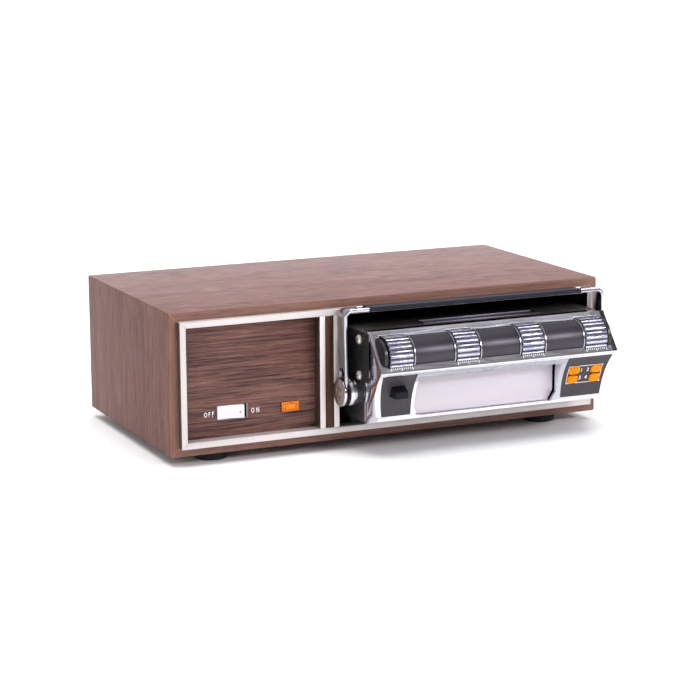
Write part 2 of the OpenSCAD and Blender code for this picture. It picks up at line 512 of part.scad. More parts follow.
// head carriage that steps the tape head up and down on two pins
module head_carriage() { color("silver") place() difference() {
  union() {
    slab(216, 248, 69, 79, 24, 36);
    slab(228, 234, 79, 86, 31.2, 36);
    slab(222, 242, 66, 69, 26, 30);
  }
  for (x = [222, 242]) zrod(20, 50, x, 74, 2.06);
} }
module tape_head() { color("dimgray") place() difference() {
  union() { slab(224, 240, 58.5, 66, 26, 41); slab(226, 238, 57.2, 59, 28, 39); slab(222, 242, 66, 69, 30, 41); }
  slab(229, 230, 57, 57.8, 28, 39);
} }
module program_cam() { color("white") place() union() {
  translate([0, 0, -1.2]) yrod(81, 85, 231, 27, 5);
  yrod(81, 100, 231, 27, 2);
  yrod(94, 96, 231, 27, 6.5);
} }
module solenoid() { color("darkgoldenrod") place() difference() {
  union() {
    slab(221, 241, 87, 92, pz0 + sheet, 32);
    slab(221, 268, 87, 103, pz0 + sheet, pz0 + sheet + 1.4);
    slab(245, 268, 84, 103, 20, 42);
    yrod(76, 84.5, 256.5, 31, 4);
  }
  yrod(80, 103, 231, 27, 2.05);
  slab(219, 243, 92.8, 97.2, pz0 + sheet - 1, pz0 + 3);
} }

// ---------------------------------------------------------------- electronics
module amplifier_board() { color("peru") place() union() {
  slab(146, 326, -18, 92, 67, 68.6);
  for (p = [[160, 10], [185, 30], [300, 20], [310, 60], [240, -6]]) translate([p.x, p.y, 68.4]) cylinder(r = 4.5, h = 12);
  for (i = [0 : 6]) slab(205 + 11 * i, 208 + 11 * i, 20, 29, 68.4, 72);
  for (p = [[149, -14], [323, -14], [149, 88], [323, 88]]) zrod(pz0 + sheet, 67.5, p.x < 200 ? px0 + 5 : px1 - 5, p.y, 2);
  for (y = [-16, 86]) { slab(px0 + 3, 147, y, y + 4, 67, 68.6); slab(325, px1 - 3, y, y + 4, 67, 68.6); }
} }
module heat_sink() { color("black") place() union() {
  slab(270, 330, 104, py1 - sheet, 54, 81);
  for (i = [0 : 9]) slab(270 + 6.4 * i, 272 + 6.4 * i, 95, 104.5, 54, 81);
} }

// ---------------------------------------------------------------- outside of the player
module chassis_screws() { color("silver") place() {
  both() for (z = screw_z) translate([px0, screw_y, z]) rotate([0, -90, 0]) difference() {
    union() { rotate_extrude() polygon([[0, 0], [3.5, 0], [3.4, 0.9], [2.4, 1.9], [0, 2.3]]); translate([0, 0, -5]) cylinder(r = 1.6, h = 5.2); }
    for (a = [0, 90]) rotate(a) translate([-0.35, -1.7, 1.3]) cube([0.7, 3.4, 2]);
  }
  for (x = [px0 + 8, px1 - 8]) { zrod(pz1 - 3.5, pz1 + 0.5, x, 98, 1.5); zrod(pz1, pz1 + 1.8, x, 98, 3); }
} }

module pivot_bosses() { color("silver") place() both() difference() {
  translate([px0, hy, hz]) rotate([0, -90, 0]) rotate_extrude($fn = 96)
    polygon([[0, 0], [knob_d / 2 - 1.4, 0], [knob_d / 2 - 1.4, 2.2], [knob_d / 2, 3.2], [knob_d / 2, 6.6], [knob_d / 2 - 0.8, 7.4], [knob_d / 2 - 0.8, 8.1], [0, 8.1]]);
  xrod(px0 - 12, px0 + 1, hy, hz, 3.76);
} }
// fibre washers between the bosses and the strap
module strap_washers() { color("dimgray") place() both() difference() {
  xrod(hx0 + strap_t + 0.03, px0 - 8.13, hy, hz, knob_d / 2 - 0.6);
  xrod(px0 - 12, px0 + 1, hy, hz, slot_r);
} }

module rear_plug() { color("beige") place() union() {
  slab(209.5, 262.5, 104, 117.5, 45, 55);
  slab(205, 267, 104, py1 - sheet, 42, 58);
} }

// ---------------------------------------------------------------- handle
module leaned() { translate([0, hy, hz]) rotate([-lean, 0, 0]) translate([0, -hy, -hz]) children(); }
module handle_strap() { color("gainsboro") place() leaned() difference() {
  union() {
    // the strap bent to a flat-bottomed U, upside down
    intersection() {
      alongy(hy - strap_w / 2, hy + strap_w / 2) difference() {
        rounded_top(hx0, hx1, 0, h_top, 6.4);
        rounded_top(hx0 + strap_t, hx1 - strap_t, -1, h_top - strap_t, 3.9);
      }
      union() { slab(0, 500, -60, 30, hz, 120); xrod(0, 500, hy, hz, strap_w / 2); }
    }
  }
  // slots in the legs
  both() xrod(hx0 - 1, hx0 + 4, hy, hz, slot_r);
  both() xrod(hx0 - 1, hx0 + 4, hy, slot_top, slot_r);
  both() slab(hx0 - 1, hx0 + 4, hy - slot_r, hy + slot_r, hz, slot_top);
  slab(142.9, 2 * player_x - 142.9, hy - slot_r, hy + slot_r, h_top - 4, h_top + 1);
  both() zrod(h_top - 4, h_top + 1, 142.9, hy, slot_r);
} }
module rounded_top(x0, x1, z0, z1, r) { union() {
  translate([x0, z0]) square([x1 - x0, z1 - r - z0]);
  translate([x0 + r, z0]) square([x1 - x0 - 2 * r, z1 - z0]);
  translate([x0 + r, z1 - r]) circle(r = r, $fn = 64);
  translate([x1 - r, z1 - r]) circle(r = r, $fn = 64);
} }
module handle_grip() { color("black") place() leaned() difference() {
  alongx(147.5, 324.5) union() {
    g = 0.38; r = 0.8; a = hy - strap_w / 2 - g; b = hy + strap_w / 2 + g; c = h_top - strap_t - g; d = h_top + g;
    translate([a + r, c]) square([b - a - 2 * r, d - c]);
    translate([a, c + r]) square([b - a, d - c - 2 * r]);
    for (p = [[a + r, c + r], [b - r, c + r], [a + r, d - r], [b - r, d - r]]) translate(p) circle(r = r, $fn = 32);
  }
  slab(140, 340, hy - strap_w / 2, hy + strap_w / 2, h_top - strap_t, h_top);
} }
module clamp_knob() { translate([hx0, hy, hz]) rotate([0, -90, 0]) union() {
  rotate_extrude($fn = 96) polygon([[0, 0.03], [knob_d / 2 - 0.5, 0.03], [knob_d / 2, 0.5], [knob_d / 2, 1.9], [knob_d / 2 - 0.5, 2.4], [4.2, 2.4], [4.2, 2.0], [0, 2.0]]);
  translate([0, 0, 1.9]) difference() { cylinder(r = 3.4, h = 0.5); translate([-4, -0.45, 0.1]) cube([8, 0.9, 1]); }
  translate([0, 0, -11.6]) cylinder(r = 3.7, h = 12);
} }
module clamp_knob_left() { color("silver") place() clamp_knob(); }
module clamp_knob_right() { color("silver") place() translate([2 * player_x, 0, 0]) mirror([1, 0, 0]) clamp_knob(); }

top_panel();
bottom_panel();
left_side_panel();
right_side_panel();
rear_panel();
corner_blocks();
trim_top();
trim_bottom();
trim_sides();
divider_trim();
divider_board();
control_panel();
rocker_housing();
power_rocker();
pilot_lens();
dock_shell();
dock_connector();
rubber_feet();
cabinet_screws();
power_transformer();
filter_capacitors();
power_board();
audio_jacks();
cord_grommet();
chassis_tray();
top_cover();
bezel();
bezel_inlays();
wheel_pads();
track_lenses();
track_lamps();
control_pots();
volume_wheel();
tone_wheel();
balance_wheel();
fade_wheel();
tape_door();
door_hinge_pin();
door_spring();
program_button();
cartridge_well();
amplifier_board();
heat_sink();
motor();
motor_pulley();
drive_belt();
flywheel();
bearing_plate();
head_carriage();
tape_head();
program_cam();
solenoid();
chassis_screws();
pivot_bosses();
strap_washers();
rear_plug();
handle_strap();
handle_grip();
clamp_knob_left();
clamp_knob_right();
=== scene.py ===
import json
import math
import bpy
import bmesh
from mathutils import Matrix, Vector


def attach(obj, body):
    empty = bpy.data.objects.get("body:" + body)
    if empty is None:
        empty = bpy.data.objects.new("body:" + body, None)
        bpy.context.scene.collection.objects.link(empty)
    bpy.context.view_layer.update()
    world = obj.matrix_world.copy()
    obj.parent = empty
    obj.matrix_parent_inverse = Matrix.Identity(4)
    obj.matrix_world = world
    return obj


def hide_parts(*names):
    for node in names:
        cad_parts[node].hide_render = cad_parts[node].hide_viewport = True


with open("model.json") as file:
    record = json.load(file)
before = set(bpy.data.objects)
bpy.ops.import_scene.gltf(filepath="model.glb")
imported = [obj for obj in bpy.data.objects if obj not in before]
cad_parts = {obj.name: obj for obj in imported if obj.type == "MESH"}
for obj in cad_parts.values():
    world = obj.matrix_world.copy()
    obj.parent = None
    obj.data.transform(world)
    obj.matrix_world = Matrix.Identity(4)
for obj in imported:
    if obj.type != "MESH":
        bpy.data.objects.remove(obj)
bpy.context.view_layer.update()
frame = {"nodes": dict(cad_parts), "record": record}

NODE = frame["nodes"]
BODY_OF = {n: b for b, ns in frame["record"]["behaviour"]["bodies"].items() for n in ns}
SLOT_OF = {s["node"]: s["material_slot"] for s in frame["record"]["subparts"]}
scene = bpy.context.scene

# All shapes below are drawn in millimetres from the cabinet's lower left front corner,
# and ROW carries them into the shared frame in metres.
MM = 0.001
ROW = Matrix.Translation((-0.175, -0.061, 0.0075)) @ Matrix.Scale(MM, 4)
INV = ROW.inverted()


def row(x, y, z):
    return ROW @ Vector((x, y, z))


# ------------------------------------------------------------------ camera
def make_camera():
    az, el, roll = (math.radians(a) for a in (-24.571, 11.564, -0.314))
    back = Vector((math.sin(az) * math.cos(el), -math.cos(az) * math.cos(el), math.sin(el)))
    right = (-back).cross(Vector((0, 0, 1))).normalized()
    up = right.cross(-back)
    r2 = right * math.cos(roll) + up * math.sin(roll)
    u2 = up * math.cos(roll) - right * math.sin(roll)
    data = bpy.data.cameras.new("camera")
    data.lens = 113.905
    data.sensor_width = 36.0
    data.sensor_fit = "AUTO"
    data.clip_start, data.clip_end = 0.05, 60
    cam = bpy.data.objects.new("camera", data)
    scene.collection.objects.link(cam)
    m = Matrix((r2, u2, back)).transposed().to_4x4()
    m.translation = Vector((-0.69770, -1.51281, 0.40073))
    cam.matrix_world = m
    scene.camera = cam
    return cam


make_camera()


# ------------------------------------------------------------------ material kit
class Mat:
    """A small wrapper that builds one procedural material."""

    def __init__(self, name):
        self.m = bpy.data.materials.new(name)
        self.m.use_nodes = True
        self.t = self.m.node_tree
        self.t.nodes.clear()
        out = self.t.nodes.new("ShaderNodeOutputMaterial")
        self.b = self.t.nodes.new("ShaderNodeBsdfPrincipled")
        self.t.links.new(self.b.outputs[0], out.inputs[0])
        self.tc = self.t.nodes.new("ShaderNodeTexCoord")

    def feed(self, socket, value):
        if isinstance(value, bpy.types.NodeSocket):
            self.t.links.new(value, socket)
        else:
            socket.default_value = value

    def set(self, **kw):
        for k, v in kw.items():
            name = k.replace("_", " ")
            names = {s.name.lower(): s for s in self.b.inputs}
            if name.lower() == "base":
                v = (*v, 1.0) if not isinstance(v, bpy.types.NodeSocket) and len(v) == 3 else v
                name = "base color"
            self.feed(names[name.lower()], v)
        return self

    def place(self, scale, rot=(0, 0, 0), loc=(0, 0, 0)):
        n = self.t.nodes.new("ShaderNodeMapping")
        n.inputs["Scale"].default_value = scale
        n.inputs["Rotation"].default_value = rot
        n.inputs["Location"].default_value = loc
        self.t.links.new(self.tc.outputs["Object"], n.inputs["Vector"])
        return n.outputs[0]

    def noise(self, scale, detail=2.0, rough=0.5, bend=0.0, loc=(0, 0, 0), vec=None):
        n = self.t.nodes.new("ShaderNodeTexNoise")
        if not hasattr(scale, "__len__"):
            scale = (scale,) * 3
        self.t.links.new(vec or self.place(scale, loc=loc), n.inputs["Vector"])
        n.inputs["Scale"].default_value = 1.0
        n.inputs["Detail"].default_value = detail
        n.inputs["Roughness"].default_value = rough
        n.inputs["Distortion"].default_value = bend
        return n.outputs["Fac"]

    def cells(self, scale, kind="DISTANCE_TO_EDGE", rand=1.0):
        n = self.t.nodes.new("ShaderNodeTexVoronoi")
        if not hasattr(scale, "__len__"):
            scale = (scale,) * 3
        n.feature = kind
        self.t.links.new(self.place(scale), n.inputs["Vector"])
        n.inputs["Scale"].default_value = 1.0
        n.inputs["Randomness"].default_value = rand
        return n.outputs[0]

    def ramp(self, fac, stops, soft="LINEAR"):
        n = self.t.nodes.new("ShaderNodeValToRGB")
        n.color_ramp.interpolation = soft
        e = n.color_ramp.elements
        while len(e) < len(stops):
            e.new(0.5)
        for i, (p, c) in enumerate(stops):
            e[i].position = p
            e[i].color = (*c, 1.0) if hasattr(c, "__len__") else (c, c, c, 1.0)
        self.feed(n.inputs[0], fac)
        return n.outputs[0]

    def span(self, x, a, b, c, d):
        n = self.t.nodes.new("ShaderNodeMapRange")
        for i, v in enumerate((x, a, b, c, d)):
            self.feed(n.inputs[i], v)
        return n.outputs[0]

    def calc(self, op, a, b=0.0, c=0.0):
        n = self.t.nodes.new("ShaderNodeMath")
        n.operation = op
        self.feed(n.inputs[0], a)
        self.feed(n.inputs[1], b)
        self.feed(n.inputs[2], c)
        return n.outputs[0]

    def mix(self, fac, a, b, how="MIX"):
        n = self.t.nodes.new("ShaderNodeMix")
        n.data_type = "RGBA"
        n.blend_type = how
        self.feed(n.inputs[0], fac)
        self.feed(n.inputs[6], (*a, 1.0) if isinstance(a, tuple) and len(a) == 3 else a)
        self.feed(n.inputs[7], (*b, 1.0) if isinstance(b, tuple) and len(b) == 3 else b)
        return n.outputs[2]

    def axis(self, which, space="Object"):
        n = self.t.nodes.new("ShaderNodeSeparateXYZ")
        self.t.links.new(self.tc.outputs[space], n.inputs[0])
        return n.outputs["XYZ".index(which)]

    def bump(self, height, dist, strength=1.0, over=None):
        n = self.t.nodes.new("ShaderNodeBump")
        n.inputs["Strength"].default_value = strength
        n.inputs["Distance"].default_value = dist
        self.feed(n.inputs["Height"], height)
        if over is not None:
            self.feed(n.inputs["Normal"], over)
        self.t.links.new(n.outputs[0], self.b.inputs["Normal"])
        return n.outputs[0]


def srgb(r, g, b):
    return tuple((c / 255 / 12.92) if c / 255 <= 0.04045 else ((c / 255 + 0.055) / 1.055) ** 2.4 for c in (r, g, b))


def along(axis, lengthwise, across):
    return tuple(lengthwise if a == axis else across for a in "XYZ")


def shade(c, k):
    return tuple(min(1.0, v * k) for v in c)


def walnut(name, axis, dark, mid, light, tone=(4, 40, 0.40), streak=(20, 420, 0.5), fibre=(60, 1100, 0.25), spread=0.17,
           rough=(0.40, 0.52), seed=0.0, bend=0.6, spec=0.5, pores=0.62):
    """Printed walnut covering: broad tone, dark streaks, fine fibres and short pores, all running along one axis.
    Each layer is given as (changes per metre along the grain, across it, strength)."""
    m = Mat(name)
    off = (seed, seed * 1.7, seed * 0.6)
    layers = [m.noise(along(axis, tone[0], tone[1]), detail=3, rough=0.55, bend=0.4, loc=off),
              m.noise(along(axis, streak[0], streak[1]), detail=4, rough=0.60, bend=bend, loc=off),
              m.noise(along(axis, fibre[0], fibre[1]), detail=2, loc=off)]
    pore = m.noise(along(axis, 130, 2100), detail=1, loc=off)
    d = m.calc("MULTIPLY", layers[0], tone[2])
    d = m.calc("MULTIPLY_ADD", layers[1], streak[2], d)
    d = m.calc("MULTIPLY_ADD", layers[2], fibre[2], d)
    total = (tone[2] + streak[2] + fibre[2]) / 2
    base = m.ramp(d, [(max(0.0, total - spread), dark), (total - 0.01, mid), (min(1.0, total + spread), light)])
    short = m.ramp(pore, [(0.33, pores), (0.43, 1.0)])
    m.set(base=m.mix(0.7, base, m.mix(1.0, base, short, "MULTIPLY")))
    m.set(roughness=m.span(layers[2], 0.3, 0.7, rough[1], rough[0]))
    m.b.inputs["Specular IOR Level"].default_value = spec
    m.bump(m.calc("MULTIPLY_ADD", pore, 0.7, layers[2]), 0.00006, 0.5)
    return m.m


def metal(name, colour, rough=(0.18, 0.3), lines=None, line_scale=1600, bump=0.00002, patch=28, tint=None, wave=0.0, metallic=1.0):
    """Metal with a slight change of tone, and with fine lines along an axis when lines is given."""
    m = Mat(name)
    cloud = m.noise(patch, detail=3)
    tint = tint or shade(colour, 0.90)
    m.set(base=m.mix(m.span(cloud, 0.35, 0.68, 0.0, 1.0), colour, tint), metallic=metallic)
    grain = m.noise(along(lines, line_scale * 0.012, line_scale), detail=2) if lines else m.noise(900, detail=3)
    m.set(roughness=m.span(grain, 0.3, 0.7, rough[0], rough[1]))
    over = None
    if wave:
        over = m.bump(m.noise(45, detail=1), wave, 1.0)
    m.bump(grain, bump, 0.5, over)
    return m.m


def plastic(name, colour, rough=(0.35, 0.5), grain=1500, bump=0.00003, tint=None, coat=0.0, spec=0.5, patch=60):
    m = Mat(name)
    cloud = m.noise(patch, detail=3)
    tint = tint or shade(colour, 0.82)
    m.set(base=m.mix(m.span(cloud, 0.35, 0.68, 0.0, 1.0), colour, tint))
    g = m.noise(grain, detail=2)
    m.set(roughness=m.span(g, 0.3, 0.7, rough[0], rough[1]))
    m.b.inputs["Specular IOR Level"].default_value = spec
    if coat:
        m.b.inputs["Coat Weight"].default_value = coat
        m.b.inputs["Coat Roughness"].default_value = 0.08
    m.bump(g, bump, 0.6)
    return m.m


MAT = {}
MAT["walnutX"] = walnut("walnut_grain_X", "X", srgb(88, 60, 55), srgb(123, 88, 81), srgb(148, 111, 103), tone=(9, 42, 0.34),
                        streak=(26, 170, 0.50), fibre=(70, 520, 0.42), spread=0.24, seed=0.31)
# painted shade: the side panels use a darker copy of the top's walnut, standing in for the dimmer light on the sides
MAT["walnutZ"] = walnut("walnut_grain_Z_painted_shade", "Z", srgb(78, 51, 45), srgb(112, 76, 68), srgb(134, 96, 87), tone=(5, 60, 0.36),
                        streak=(16, 330, 0.50), fibre=(55, 800, 0.30), spread=0.22, seed=1.13, bend=0.3, spec=0.22, rough=(0.5, 0.62))
for ax in "XZ":
    # painted shade: a darker, redder copy of the walnut for the panels' front rounding and front ends, standing in for
    # their dimmer light and missing sheen
    MAT["edge" + ax] = walnut("walnut_front_painted_shade_" + ax, ax, srgb(86, 54, 44), srgb(120, 82, 69), srgb(142, 102, 87), tone=(7, 60, 0.3),
                              streak=(16, 420, 0.45), fibre=(60, 900, 0.25), spread=0.2, seed=2.2)
    MAT["trim" + ax] = metal("satin_aluminium_" + ax, srgb(217, 209, 207), rough=(0.34, 0.48), lines=ax, bump=0.00003, metallic=0.55)
# painted shade: a dark copy of the satin aluminium for the trims' side faces, which lie in shade
MAT["trim_side_shade"] = metal("trim_side_painted_shade", (0.36, 0.35, 0.30), rough=(0.30, 0.42), lines="Z", bump=0.00002, tint=(0.26, 0.25, 0.21))
# painted light: a lighter copy of the trim aluminium for the divider strips, making up for the shade that falls on them
MAT["trim_bright"] = metal("trim_painted_light", srgb(238, 231, 230), rough=(0.34, 0.46), lines="Z", bump=0.00002, metallic=0.35)
MAT["fasciaX"] = walnut("walnut_dark_X", "X", srgb(32, 17, 17), srgb(98, 64, 57), srgb(134, 94, 83), tone=(7, 60, 0.26),
                        streak=(20, 620, 0.74), fibre=(60, 1500, 0.30), spread=0.165, seed=4.4, rough=(0.42, 0.54), bend=0.7, spec=0.3)
MAT["fasciaZ"] = walnut("walnut_dark_Z", "Z", srgb(46, 26, 18), srgb(76, 47, 34), srgb(98, 64, 48), tone=(8, 70, 0.3),
                        streak=(16, 430, 0.6), fibre=(60, 900, 0.20), spread=0.2, seed=5.1, rough=(0.45, 0.55), spec=0.25)
MAT["mitre"] = plastic("mitre_edge", srgb(214, 158, 104), rough=(0.6, 0.8), grain=2500)
MAT["board"] = plastic("fibre_board", srgb(118, 88, 62), rough=(0.75, 0.9), grain=2200, bump=0.0001, tint=srgb(92, 66, 46), patch=300)
MAT["soft_wood"] = walnut("softwood", "Y", srgb(176, 138, 92), srgb(205, 168, 118), srgb(222, 190, 142), rough=(0.6, 0.8))
MAT["chrome"] = metal("bright_chrome", (0.80, 0.80, 0.83), rough=(0.035, 0.10), bump=0.000006, wave=0.00012, tint=(0.72, 0.72, 0.76))
# painted shade: a darker copy of the chrome, with satin lines, for the lower slope face and the rings beside the wheels
MAT["lip_chrome"] = metal("lip_chrome_painted_shade", (0.40, 0.39, 0.41), rough=(0.20, 0.28), lines="X", bump=0.000006, tint=(0.32, 0.31, 0.33))
MAT["lip_top"] = metal("satin_top", (0.66, 0.64, 0.70), rough=(0.20, 0.28), lines="X", bump=0.000006, tint=(0.50, 0.49, 0.54), patch=40)
# painted shade: a darker grey copy of the chrome for the concave front beside and above the door
MAT["front_grey"] = metal("front_chrome_painted_shade", (0.52, 0.525, 0.57), rough=(0.22, 0.32), bump=0.00001, tint=(0.44, 0.44, 0.49), patch=60)
MAT["end_dark"] = metal("slope_end", (0.13, 0.125, 0.15), rough=(0.22, 0.34), bump=0.00002, tint=(0.05, 0.05, 0.06), patch=260)
MAT["lip_white"] = metal("lip_satin", (0.80, 0.79, 0.83), rough=(0.34, 0.44), lines="X", bump=0.00001, tint=(0.74, 0.73, 0.78), metallic=0.6)
# painted shade: a dark copy of the wheel chrome for the grooves between the ribs
MAT["groove"] = metal("wheel_groove_painted_shade", (0.085, 0.083, 0.115), rough=(0.22, 0.34), bump=0.000004, tint=(0.030, 0.028, 0.045), patch=160)
MAT["wheel_end"] = plastic("wheel_end", srgb(20, 18, 22), rough=(0.25, 0.4), spec=0.6)
# painted shade: black for the bezel's recess floor and wheel cut-outs, where only shade falls
MAT["recess"] = plastic("recess_painted_shade", srgb(16, 14, 18), rough=(0.3, 0.5), spec=0.5)
# painted shade and reflection: a darker, bluer copy of the chrome for the bezel's end facets
MAT["side_chrome_painted_shade"] = metal("side_chrome_painted_shade", (0.66, 0.66, 0.72), rough=(0.10, 0.18), bump=0.00001, wave=0.0002, tint=(0.55, 0.55, 0.62))
MAT["wheel"] = metal("wheel_chrome", (0.56, 0.56, 0.61), rough=(0.12, 0.2), bump=0.000002, tint=(0.34, 0.34, 0.44), patch=90)
MAT["strap"] = metal("strap_chrome", (0.56, 0.55, 0.60), rough=(0.12, 0.22), lines="Z", bump=0.000008, wave=0.00008, tint=(0.42, 0.41, 0.46))
# the handle legs' side faces: a satin finish, with a beige-grey tone that is a painted reflection
MAT["strap_side"] = metal("strap_side_painted_reflection", (0.60, 0.585, 0.545), rough=(0.34, 0.46), lines="Z", bump=0.00002, tint=(0.48, 0.47, 0.43))
MAT["knob_face"] = metal("knob_satin", (0.62, 0.56, 0.53), rough=(0.30, 0.42), bump=0.00002, tint=(0.55, 0.48, 0.45))
MAT["knob_rim"] = metal("knob_chrome", (0.70, 0.70, 0.73), rough=(0.06, 0.14), bump=0.000006)
MAT["knob_core"] = metal("knob_core", (0.46, 0.36, 0.27), rough=(0.22, 0.34), bump=0.00001, tint=(0.30, 0.22, 0.17), patch=400)
MAT["brass"] = metal("turned_brass", (0.80, 0.63, 0.36), rough=(0.2, 0.34), bump=0.00002, tint=(0.66, 0.48, 0.24))
MAT["boss"] = metal("boss_silver", (0.80, 0.80, 0.82), rough=(0.14, 0.26), bump=0.00001)
MAT["screw"] = metal("screw_steel", (0.80, 0.77, 0.71), rough=(0.26, 0.38), bump=0.00001, tint=(0.70, 0.66, 0.60), metallic=0.6)
MAT["white"] = plastic("switch_white", srgb(232, 226, 228), rough=(0.28, 0.38), bump=0.00002, tint=srgb(228, 221, 223), coat=0.3)
MAT["ink"] = plastic("white_ink", srgb(236, 236, 236), rough=(0.5, 0.6), tint=srgb(226, 226, 226))
MAT["dark_ink"] = plastic("dark_ink", srgb(40, 40, 42), rough=(0.5, 0.6))
MAT["red"] = plastic("red_mark", srgb(206, 40, 50), rough=(0.4, 0.5))
MAT["switch_black"] = plastic("switch_black", srgb(26, 24, 23), rough=(0.45, 0.6))
MAT["paint"] = plastic("black_paint", srgb(30, 28, 29), rough=(0.44, 0.56), grain=2600, bump=0.00005, tint=srgb(20, 19, 20))
MAT["dock"] = plastic("dock_black", srgb(48, 44, 48), rough=(0.5, 0.66), grain=1600, bump=0.00006, tint=srgb(32, 29, 32))
MAT["rubber"] = plastic("foot_rubber", srgb(24, 23, 24), rough=(0.7, 0.85), grain=1200, bump=0.00008)
MAT["inlay"] = plastic("charcoal_inlay", srgb(52, 48, 52), rough=(0.42, 0.54), grain=2600, bump=0.00003, tint=srgb(46, 42, 46))
MAT["button"] = plastic("button_black", srgb(10, 9, 11), rough=(0.5, 0.62), spec=0.25)
MAT["cream"] = plastic("connector_cream", srgb(216, 205, 176), rough=(0.4, 0.55), tint=srgb(198, 184, 150))
MAT["phenolic"] = plastic("board_brown", srgb(150, 104, 58), rough=(0.4, 0.55), grain=800, tint=srgb(122, 80, 42), patch=120)
MAT["laminate"] = metal("transformer_steel", (0.30, 0.32, 0.34), rough=(0.4, 0.6), lines="X", line_scale=2000, bump=0.0001)
MAT["sleeve"] = plastic("capacitor_sleeve", srgb(44, 74, 128), rough=(0.3, 0.4), coat=0.4, tint=srgb(34, 60, 108))
MAT["zinc"] = metal("plated_steel", (0.66, 0.66, 0.64), rough=(0.22, 0.42), patch=90, tint=(0.55, 0.56, 0.52))
MAT["turned"] = metal("turned_steel", (0.70, 0.70, 0.72), rough=(0.15, 0.3))
MAT["cast"] = metal("cast_alloy", (0.60, 0.60, 0.62), rough=(0.4, 0.6), bump=0.00008)
MAT["head"] = metal("head_shield", (0.52, 0.52, 0.55), rough=(0.12, 0.22))
MAT["belt"] = plastic("belt_rubber", srgb(28, 27, 28), rough=(0.6, 0.75))
MAT["nylon"] = plastic("cam_nylon", srgb(232, 229, 218), rough=(0.4, 0.5), tint=srgb(220, 216, 202))
MAT["coil"] = plastic("coil_amber", srgb(168, 116, 42), rough=(0.35, 0.5), grain=900, tint=srgb(140, 92, 30))
MAT["fin"] = metal("fin_black", (0.035, 0.035, 0.037), rough=(0.35, 0.5))
MAT["fibre"] = plastic("washer_fibre", srgb(48, 42, 38), rough=(0.7, 0.85))


def make_pad():
    """Black half-round pads: fine lines that follow the curve round the wheel axis."""
    m = Mat("pad_black")
    y = m.calc("ADD", m.axis("Y"), 0.1053)
    z = m.calc("SUBTRACT", m.axis("Z"), 0.0768)
    ang = m.calc("ARCTAN2", z, y)
    n = m.t.nodes.new("ShaderNodeCombineXYZ")
    m.feed(n.inputs[0], m.calc("MULTIPLY", m.axis("X"), 1500.0))
    m.feed(n.inputs[1], m.calc("MULTIPLY", ang, 7.0))
    g = m.noise(1, detail=2, vec=n.outputs[0])
    fine = m.noise(1700, detail=2)
    cloud = m.noise(70, detail=2)
    m.set(base=m.mix(cloud, srgb(22, 20, 24), srgb(15, 13, 17)))
    m.set(roughness=m.span(fine, 0.3, 0.7, 0.30, 0.42))
    m.b.inputs["Specular IOR Level"].default_value = 0.8
    m.b.inputs["Specular Tint"].default_value = (0.93, 0.86, 1.0, 1.0)
    m.bump(m.calc("MULTIPLY_ADD", fine, 0.9, g), 0.00010, 0.8)
    return m.m


def make_grip():
    """Vinyl sleeve on the carrying handle."""
    m = Mat("grip_vinyl")
    soft = m.noise((18, 160, 160), detail=2)
    fine = m.noise(1400, detail=2)
    m.set(base=m.mix(soft, srgb(22, 22, 40), srgb(14, 14, 27)))
    m.set(roughness=m.span(fine, 0.3, 0.7, 0.34, 0.46))
    m.b.inputs["Specular IOR Level"].default_value = 0.22
    m.b.inputs["Coat Weight"].default_value = 0.08
    m.b.inputs["Coat Roughness"].default_value = 0.2
    over = m.bump(m.noise((30, 240, 240), detail=1), 0.0003, 0.5)
    m.bump(fine, 0.00003, 0.5, over)
    return m.m


def make_door():
    """Satin silver door: near white, with a faint level grain."""
    m = Mat("door_silver")
    g = m.noise((18, 1400, 1400), detail=2)
    cloud = m.noise((10, 30, 60), detail=2)
    m.set(base=m.mix(m.span(cloud, 0.3, 0.7, 0, 1), srgb(206, 199, 205), srgb(199, 192, 199)), metallic=0.6)
    m.set(roughness=m.span(g, 0.3, 0.7, 0.30, 0.44))
    m.bump(g, 0.00001, 0.5)
    return m.m


def make_amber(name, deep, bright, glow, crackle, spec=0.3):
    """Amber moulding with a crackled inner look and a little light of its own."""
    m = Mat(name)
    edge = m.cells(crackle)
    cloud = m.noise(crackle * 0.6, detail=2)
    f = m.calc("MULTIPLY_ADD", m.span(edge, 0.0, 0.20, 0.0, 0.70), 1.0, m.calc("MULTIPLY", cloud, 0.5))
    col = m.ramp(f, [(0.12, deep), (0.55, bright), (1.0, shade(bright, 1.25))])
    m.set(base=col, roughness=m.span(cloud, 0.3, 0.7, 0.10, 0.22))
    m.b.inputs["Emission Color"].default_value = (1, 1, 1, 1)
    m.feed(m.b.inputs["Emission Color"], col)
    m.b.inputs["Emission Strength"].default_value = glow
    m.b.inputs["Specular IOR Level"].default_value = spec
    m.bump(m.span(edge, 0.0, 0.14, 0.0, 1.0), 0.00022, 0.6)
    return m.m


MAT["pad"] = make_pad()
MAT["grip"] = make_grip()
MAT["door"] = make_door()
MAT["pilot"] = make_amber("pilot_amber", srgb(176, 84, 6), srgb(212, 112, 14), 0.12, 500)
MAT["pilot_step"] = make_amber("pilot_step", srgb(196, 92, 8), srgb(226, 124, 22), 0.14, 500)
MAT["pilot_edge"] = plastic("pilot_edge", srgb(122, 56, 6), rough=(0.2, 0.3), tint=srgb(96, 42, 2))
MAT["amber"] = make_amber("track_amber", srgb(120, 50, 0), srgb(238, 138, 0), 0.08, 560, 0.10)
MAT["rim"] = plastic("switch_rim", srgb(132, 122, 116), rough=(0.4, 0.5))
MAT["cover"] = plastic("cover_paint", srgb(48, 45, 47), rough=(0.36, 0.48), grain=2600, bump=0.00005, tint=srgb(38, 36, 38), spec=0.7)
